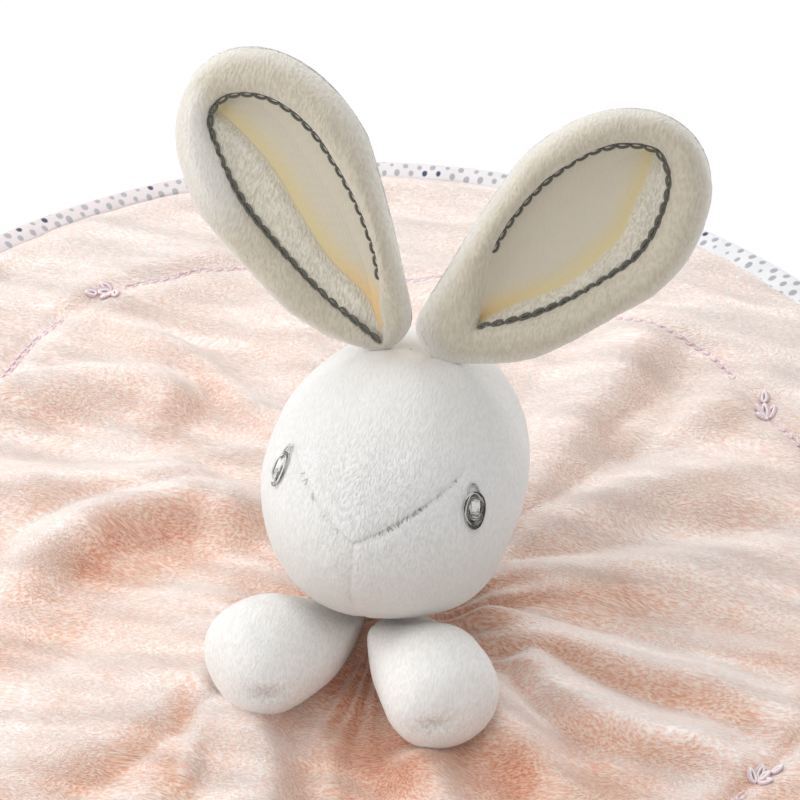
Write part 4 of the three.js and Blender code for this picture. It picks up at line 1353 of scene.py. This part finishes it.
def eye_tracks(seed):
    """Tracks of every thread of an eye as (across, up, lift, shade) in millimetres."""
    random = np.random.default_rng(seed)
    way = np.linspace(0, 1, 14)
    tracks = []

    def lay(across, up, lift, shade):
        tracks.append(points_of(across, up, lift, shade))

    for turn in range(12):
        size = 0.14 * turn + random.uniform(-0.1, 0.1)
        wobble = 0.2 * np.sin(way * TURN * random.uniform(2, 4) + turn)
        angle = random.uniform(0, TURN) + way * TURN * random.uniform(0.6, 1.0)
        across, up = (1.85 + size + wobble) * np.cos(angle), EYE_MIDDLE + (2.8 + size + wobble) * np.sin(angle)
        lay(across, up, 0.5 + 0.12 * (turn % 3), random.uniform(0.75, 1.0) if turn % 4 else 0.4)
    for row in range(13):
        up = -1.7 - 0.19 * row
        half = 1.75 * np.sqrt(max(0.08, 1 - ((up - EYE_MIDDLE) / 3.4) ** 2))
        first, last = random.uniform(-1, 0.1), random.uniform(0.1, 1)
        tilt, shade = random.uniform(-0.7, 0.7), random.uniform(0.15, 0.95)
        lay(half * mix(first, last, way), up + tilt * (way - 0.5), 0.5 + 0.2 * np.sin(np.pi * way), shade)
    for column in range(8):
        across = 0.1 + 0.34 * (column - 3.5)
        low, high = random.uniform(-1.9, -0.7), random.uniform(0.7, 1.8)
        lay(across + 0.1 * way, mix(low, high, way), 0.55 + 0.25 * np.sin(np.pi * way), 0.0)
    angle = mix(2.7, 0.2, way)
    for high in (3.6, 4.1):
        lay(2.1 * np.cos(angle) + 0.1, 1.5 + high * np.sin(angle), 0.45, 0.5)
    return np.array(tracks)


def eye(side, word):
    """An eye's threads over a thin pad, narrower and with broken strokes on the toy's right."""
    laid = eye_tracks(21 if side > 0 else 22)
    narrow = 1.0 if side > 0 else 0.72
    place = on_cheek(side, narrow * laid[..., 0], laid[..., 1], laid[..., 2])
    row, step = np.indices(laid.shape[:2])
    broken = 1.0 if side > 0 else np.where(np.sin(1.1 * step + 2.4 * row) > -0.2, 1.0, 0.1)
    piece(
        f"eye_threads_{word}", strands(place, EYE_THREAD_THICK), EYE_THREAD, "head",
        marks={"shade": (laid[..., 3] * broken)[..., None]},
    )
    angle = round_turns(36)
    ring = np.array([0, 0.5, 0.85, 1, 1, 0.5, 0])[:, None]
    lift = np.array([0.45, 0.45, 0.4, 0.1, -0.6, -0.6, -0.6])[:, None]
    across, up = 3.1 * narrow * ring * np.cos(angle), EYE_MIDDLE + 4.1 * ring * np.sin(angle)
    shade = np.where(up < -1.6, 0.6, 0.05) + 0 * across
    points = on_cheek(side, across, up, lift + 0 * across)
    piece(f"eye_pad_{word}", points, EYE_THREAD, "head", f"eye_{word}", marks={"shade": shade})


for side, word in SIDES:
    eye(side, word)

# %% [markdown]
# ## The ears
# An ear is a cup: plush outside that rolls forward over its rim, wadding in the roll, and a cream lining sunk
# between. Every layer is the same leaf outline seen at a different level, from the middle line of the opening (-1)
# over its edge (0) and the rim (1) to the middle line of the back (2), and at its own depth in the cup. So one
# formula gives them all, and a profile of (level, depth) stops tells them apart.

# %% The ear formula
EAR_LENGTH, EAR_HALF, EAR_DEPTH = 86.0, 25.2, 10.0
EAR_PLACE = np.radians(15)
EAR_LIFT = 1.7
EAR_SET = {  # splay, outwards and forwards turns in degrees
    "left": (39.0, 22.0, -10.0),
    "right": (33.5, 0.0, 7.0),
}
EAR_OUTER = [
    (0, 0.1), (0.18, -0.32), (0.5, -0.48), (0.82, -0.3), (1, 0.06), (1.1, 0.5), (1.35, 0.8), (1.68, 0.96), (2, 1),
]  # fmt: skip
EAR_WADDING = [
    (-1, 0.46), (-0.5, 0.44), (-0.05, 0.35), (0.12, 0.3), (0.34, -0.02), (0.5, -0.2), (0.7, -0.06), (0.8, 0.1),
    (1.24, 0.29), (1.42, 0.53), (1.7, 0.7), (2, 0.75),
]  # fmt: skip

# The opening's outline, up its inner side, over the tip and down its outer side: millimetres outwards from the
# ear's middle line, and share of its length. Near the root the roll folds over the inner side.
EAR_OPENINGS = {
    "left": [
        (-0.4, 0.16), (-6.0, 0.25), (-11.4, 0.335), (-14.6, 0.43), (-16.2, 0.54), (-16.2, 0.64), (-14.6, 0.745),
        (-11.0, 0.825), (-6.2, 0.88), (-2.0, 0.9), (3.6, 0.875), (7.8, 0.82), (11.6, 0.73), (13.4, 0.64), (12.6, 0.55),
        (10.4, 0.43), (7.0, 0.32), (3.0, 0.228), (-0.4, 0.16),
    ],
    "right": [
        (-1.6, 0.03), (-5.6, 0.13), (-9.6, 0.21), (-12.6, 0.3), (-14.2, 0.43), (-14.2, 0.55), (-13.0, 0.685),
        (-9.0, 0.797), (-3.2, 0.86), (3.5, 0.885), (9.6, 0.85), (11.6, 0.76), (12.2, 0.66), (11.8, 0.56), (9.6, 0.43),
        (6.6, 0.29), (3.0, 0.16), (-1.6, 0.03),
    ],
}  # fmt: skip
# Where the band of plush ends and the jersey begins, in the same two measures.
EAR_FOLDS = {
    "left": [
        (-0.5, 0.16), (2.5, 0.28), (6.0, 0.378), (8.0, 0.455), (8.4, 0.57), (8.2, 0.64), (6.4, 0.693), (4.0, 0.75),
        (1.8, 0.812), (-2.0, 0.88),
    ],
    "right": [
        (-2.2, 0.05), (-3.6, 0.16), (-1.8, 0.235), (0.4, 0.315), (1.4, 0.42), (1.8, 0.508), (2.2, 0.625),
        (3.8, 0.718), (6.8, 0.825), (9.0, 0.87),
    ],
}  # fmt: skip


def opening_outline(word, share):
    """The opening's edge at a share round it, and its middle line beside that place. Each side is read at the same
    share of the opening's length as the rim is, so that both outlines can be joined."""
    line = through(EAR_OPENINGS[word], 600)
    tip = int(np.argmax(line[:, 1]))
    length = (line[:, 1] - line[0, 1]) / (line[tip, 1] - line[0, 1])
    length = np.concatenate([np.maximum.accumulate(length[:tip]), np.maximum.accumulate(length[tip:][::-1])[::-1]])
    round_it = np.arccos(1 - 2 * np.clip(length, 0, 1)) / TURN
    round_it[tip:] = 1 - round_it[tip:]
    x, y = np.interp(share, round_it, line[:, 0]), np.interp(share, round_it, line[:, 1])
    return x, y, (x + np.interp(1 - share, round_it, line[:, 0])) / 2


def rim_half(share):
    """Half the ear's width along its length: a power of the way from its foot, then a rounded tip, and a
    rounded root."""
    tip = np.clip((share - 0.6) / 0.41, 0, 1)
    root = np.sqrt(1 - (1 - np.clip(share / 0.1, 0, 1)) ** 2)
    stem = EAR_HALF * root * ((share + 0.04) / 0.64) ** 0.45
    return np.where(share > 0.6, EAR_HALF * np.sqrt(np.clip(1 - tip**2.2, 0, None)), stem)


def ear_point(word, share, level, depth):
    """A place in the ear's own frame. `share` goes round the outline from the root over the tip and back; the
    place is between the opening's middle line, its edge, the rim and the spine by its level, and its depth is a
    share of the cup, which is shallow at the root. Near the root the ear is cut on a slant, to sit on the head."""
    slant = np.radians(EAR_SET[word][0]) - EAR_PLACE
    way = (1 - np.cos(share * TURN)) / 2
    side = np.where(share < 0.5, -1.0, 1.0)
    edge_x, edge_y, middle_x = opening_outline(word, share)
    rim_x, rim_y = side * rim_half(way * 1.01), way * 1.01
    inner, across, back = np.clip(1 + level, 0, 1), np.clip(level, 0, 1), np.clip(level - 1, 0, 1)
    x = mix(mix(mix(middle_x, edge_x, inner), rim_x, across), 0, back)
    y = mix(mix(edge_y, rim_y, across), mix(0.04, 0.87, way), back)
    cup = mix(0.2, 1, ease(y, 0, 0.34)) * mix(1, 0.8, ease(y, 0.7, 1))
    up = y * EAR_LENGTH + x * np.tan(slant) * (1 - ease(y, 0, 0.25)) - 2.2
    outwards = 1 if word == "left" else -1
    return points_of(outwards * x, (depth - 0.26) * EAR_DEPTH * cup, up), x, y


def ear_layer(word, profile, columns):
    """A whole layer of the ear: its profile of (level, depth) stops carried once round the outline."""
    level, depth = profile.T[:, :, None]
    return ear_point(word, np.linspace(0, 1, columns, endpoint=False)[None, :], level, depth)


def turned(axis, angle):
    """The table of a turn about the x, y or z axis, by its number."""
    table = np.eye(3)
    first, second = (axis + 1) % 3, (axis + 2) % 3
    table[first, first] = table[second, second] = np.cos(angle)
    table[second, first], table[first, second] = np.sin(angle), -np.sin(angle)
    return table


def set_ear(side, word, points):
    """Leans the ear out, twists and tips it, and sets its root on the head."""
    splay, outwards, forwards = np.radians(EAR_SET[word])
    turning = turned(0, forwards) @ turned(1, side * splay) @ turned(2, side * outwards)
    seat = head_point(over_head(EAR_PLACE, QUARTER), EAR_LIFT) * np.array([side, 1, 1])
    return tipped_back(points @ turning.T + seat)


# %% [markdown]
# The ear's plush is longer and creamier than the head's. It rolls forward over the wadding, which makes the thick
# rim, and closes in a seam down the back. A tube bent along the outline would be too even, so the whole skin comes
# from the ear's formula, with a nap of lumps. From the rim's outer half over the back the plush is painted paler as
# painted light, and on the toy's right ear so is the front of the roll near the tip. Its root is painted darker as
# painted shade.

# %% The plush of an ear
EAR_MIDDLE = np.array([0.0, 0.0, 0.5 * EAR_LENGTH])


def ear_plush(side, word, columns=168, rows=56):
    """The outer skin: from the opening's edge, over the roll and the rim, to the seam down the back."""
    profile = through(EAR_OUTER, rows)
    level = profile[:, :1]
    points, x, y = ear_layer(word, profile, columns)
    nap = 0.35 * lumps(points, 12, seed=12) + 0.13 * lumps(points, 2.4, seed=13)
    outwards = unit(np.cross(np.gradient(points, axis=0), np.gradient(points, axis=1)))
    outwards = outwards * np.sign(((points - EAR_MIDDLE) * outwards).sum())
    inner = ease(y, 0.03, 0.12) * (1 - ease(level, 1.85, 2))
    points = points + outwards * (nap * inner)[..., None]
    # the seam down the back, and painted shade at the root where the ear meets the head
    seams_and_root_shade = np.maximum(0.6 * bell(2 - level, 0.03), 0.9 * bell(points[..., 2], 3.5))
    # painted light: whiter from the rim's outer half over the back, and on the toy's right ear on the roll's front
    # near the tip
    painted_light = 0.42 * ease(level, 0.6, 1.1)
    if word == "right":
        painted_light_tip = ease(level, -0.02, 0.1) * ease(x, 3, 12) * ease(y, 0.45, 0.7) * (1 - 0.4 * ease(level, 0.5, 0.9))
        painted_light = np.maximum(painted_light, 0.5 * painted_light_tip)
    return piece(
        f"ear_plush_{word}", set_ear(side, word, points), IVORY_PLUSH, "ear_" + word, f"ear_{word}_outer",
        core=set_ear(side, word, EAR_MIDDLE), marks={"seam_and_shade": seams_and_root_shade, "ruffled": 0.6, "painted_light": painted_light}, wall=1.5,
    )


for side, word in SIDES:
    ear_plush(side, word)

# %% [markdown]
# Inside the roll lies smooth cream jersey, and on the ear's outer side a band of plush comes in over it. They could
# be two pieces, but the edge between them would need fitting, so it is one surface: the band stands a little proud
# and has the pile's colours, and a mark tells the material where it is.

# %% The lining with its band of plush
REAR_ROWS = 10


def ear_lining(side, word, columns=168, rows=40):
    """The lining from its middle line to the opening's edge. On the ear's outer side the plush comes in as a band
    that stands a little proud, and the jersey beside it is folded and yellower."""
    sunk = np.interp(np.linspace(-1, 0, rows), [-1, -0.5, 0], [0.27, 0.25, 0.1])
    front = np.column_stack([np.linspace(-1, 0.02, rows), sunk])
    rear = np.column_stack([np.linspace(0.02, -1, REAR_ROWS), np.full(REAR_ROWS, 0.36)])
    points, x, y = ear_layer(word, np.concatenate([front, rear]), columns)
    is_front = np.repeat([1.0, 0.0], [rows, REAR_ROWS])[:, None]
    stops = through(EAR_FOLDS[word], 200)
    past_fold = x - np.interp(y, stops[:, 1], stops[:, 0])
    points[..., 1] -= 1.5 * ease(past_fold, -0.3, 2.0) * is_front * ease(y, 0.05, 0.2)
    gold = bell(past_fold + 0.8, 3.4)
    root = 0.75 * (gold * (1 - ease(y, 0.1, 0.42)))
    return piece(
        f"ear_lining_{word}", set_ear(side, word, points), CREAM_JERSEY, "ear_" + word, f"ear_{word}_lining",
        marks={"band": ease(past_fold, -0.35, 0.35) * is_front, "gold": gold, "root": root},
    )


def ear_wadding(side, word, columns=96, rows=48):
    """The soft sheet that fills the roll, between the plush and the lining."""
    points = set_ear(side, word, ear_layer(word, through(EAR_WADDING, rows), columns)[0])
    return piece(f"ear_fill_{word}", points, FIBRE_FILL, "ear_" + word, f"ear_{word}_wadding")


for side, word in SIDES:
    ear_lining(side, word)
    ear_wadding(side, word)

# %% [markdown]
# A dark chain stitch holds the lining inside the roll. Its line is asked from the ear's formula at the opening's
# edge, so the loops lie in the crease by themselves, and the same chain maker as for the ring lays them.

# %% The ear's chain stitch
EAR_CHAINS = {"left": (0.17, 0.985), "right": (0.15, 0.99)}  # where it starts and ends, as shares round the outline


def ear_chain(side, word):
    """Chain stitch round the opening, just inside the roll, from one side of the root to the other."""
    points, _, _ = ear_point(word, np.linspace(*EAR_CHAINS[word], 400), 0.03, -0.02)
    line = set_ear(side, word, points)
    front = set_ear(side, word, points + np.array([0, -1.0, 0])) - line
    loops = chain_loops(line, front, 3.6, 1.15, 0.8, corners=12, lap=0.42)
    return piece(f"ear_chain_{word}", loops, EAR_THREAD, "ear_" + word, along=True, marks={"shade": 0.6})


for side, word in SIDES:
    ear_chain(side, word)

# %% [markdown]
# ## The arms
# Each arm is a stuffed teardrop that lies on the cloth: narrow under the chin, round at its end, and closed there
# by hand, so a short puckered seam shows near the tip. It could be a stretched ball, but it is a profile carried
# along the arm, flatter near the neck, with a dent pressed in where the seam is. The chin pushes the roots
# together: each is pressed flat on its inner side, and its upper inner corner swells, more on the toy's left.

# %% An arm
ARM_START, ARM_LENGTH, ARM_RADIUS = 8.6, 45.0, 15.0
ARM_SPREAD = np.radians(35.3)
ARM_REST = 0.4
ARM_SHARES = [  # way along the arm, and radius, as shares of the two sizes above
    (-0.1, 0), (-0.08, 0.42), (-0.02, 0.62), (0.1, 0.74), (0.27, 0.83), (0.44, 0.92), (0.6, 0.99), (0.74, 1),
    (0.86, 0.9), (0.94, 0.68), (0.985, 0.36), (1, 0),
]  # fmt: skip
ARM_WALLS = {1: (-2.0, 0.13), -1: (1.2, 0.08)}  # by side: where the root is pressed, mm from the neck, and its flare
ARM_CORNERS = {1: (np.radians(135), 4.2), -1: (np.radians(45), 1.0)}  # by side: turn round the arm, and swelling
ARM_TIP = np.array([31.5, 0.0, 15.4])  # the middle of the round end
ARM_CORE = np.array([28.0, 0.0, 15.0])
ARM_INSET = 2.4  # how far the stuffing lies inside the cover


def arm_point(turn, profile, inset):
    """A place on the arm, which runs along +X: its radius is the profile's swelling less the inset, its section is
    flat at the root and round from half way, and it lies on its underside."""
    along, swelling = profile.T[:, :, None]
    round_share = mix(0.62, 1, ease(along, 0, 0.55))
    radius = np.clip(ARM_RADIUS * swelling - inset, 0, None)
    middle = ARM_RADIUS * np.where(along < 0.74, swelling * round_share, 1) + ARM_REST
    x = along * ARM_LENGTH - inset * ease(along, 0.5, 1)
    return points_of(x, radius * np.cos(turn), middle + radius * round_share * np.sin(turn))


def set_arm(side, points):
    """Turns the arm to its own side and lays it on the cloth. A wall beside the neck flares along the arm and leans
    out towards the cloth, and what would pass it is pressed flat against it with a soft corner."""
    start, flare = ARM_WALLS[side]
    way = -QUARTER + side * ARM_SPREAD
    along = points[..., 0] + ARM_START
    x = along * np.cos(way) - points[..., 1] * np.sin(way)
    y = along * np.sin(way) + points[..., 1] * np.cos(way)
    wall = start + flare * along + 0.22 * np.clip(18 - points[..., 2], 0, 18)
    x = side * (wall + 1.5 * np.logaddexp(0, (side * x - wall) / 1.5))
    return points_of(x + NECK[0], y + NECK[1], points[..., 2] + CLOTH_TOP)


ARM_SEAMS = {"left": (-24.0, 4.0), "right": (56.0, 4.0)}  # the closing seam's turn from the arm and rise, degrees


def arm_plush(side, word, columns=128, rows=110):
    """The cover: the smooth form with its swollen corner, slow lumps, and the closing seam's dent with pleats that
    run from it."""
    turn = round_turns(columns)
    profile = through(ARM_SHARES, rows)
    points = arm_point(turn, profile, 0)
    inner_top, swelling = ARM_CORNERS[side]
    corner = swelling * bell(profile[:, :1] - 0.15, 0.17) * bell(turn - inner_top, np.radians(38))
    points = points + corner[..., None] * np.array([0, np.cos(inner_top), np.sin(inner_top)])
    aside, lifted = np.radians(ARM_SEAMS[word])
    out = np.array([np.cos(lifted) * np.cos(aside), np.cos(lifted) * np.sin(aside), np.sin(lifted)])
    level = np.array([-np.sin(aside), np.cos(aside), 0.0])
    away = points - (ARM_TIP + 14.0 * out)
    wide, tall = away @ level, away @ np.cross(out, level)
    across = np.hypot(wide / 4.0, tall / 2.2)
    pleats = 0.2 * np.sin(9 * np.arctan2(tall, wide)) * np.exp(-((across - 1.0) ** 2) / 0.5)
    near = np.where(points @ out > ARM_TIP @ out, 1.0, 0.0) * np.exp(-((across / 4) ** 4))
    dent = near * (1.3 * bell(across, 1) + pleats)
    inwards = unit(ARM_CORE - points)
    soft = 0.35 * lumps(points, 14, seed=30 + side) + 0.1 * lumps(points, 2.5, seed=33)
    soft = soft * ease(points[..., 2], 1, 5)
    points = points + inwards * (dent - soft)[..., None]
    grey = near * bell(across, 0.7) * (0.35 + 0.3 * lumps(points, 0.9, seed=35))
    return piece(
        f"arm_plush_{word}", set_arm(side, points), WHITE_PLUSH, "arm_" + word, f"arm_{word}_cover",
        marks={"seam_and_shade": grey, "ruffled": 0.3 + 0.7 * near * bell(across, 1.5)}, wall=1.4,
    )


def arm_fill(side, word, columns=64, rows=60):
    """The stuffing, a little inside the cover."""
    profile = through(ARM_SHARES, rows)
    points = arm_point(round_turns(columns), profile, ARM_INSET)
    points[..., 0] += 1.5 * (1 - ease(profile[:, 0], 0, 0.1))[:, None]
    return piece(f"arm_fill_{word}", set_arm(side, points), FIBRE_FILL, "arm_" + word, f"arm_{word}_stuffing")


for side, word in SIDES:
    arm_plush(side, word)
for side, word in SIDES:
    arm_fill(side, word)
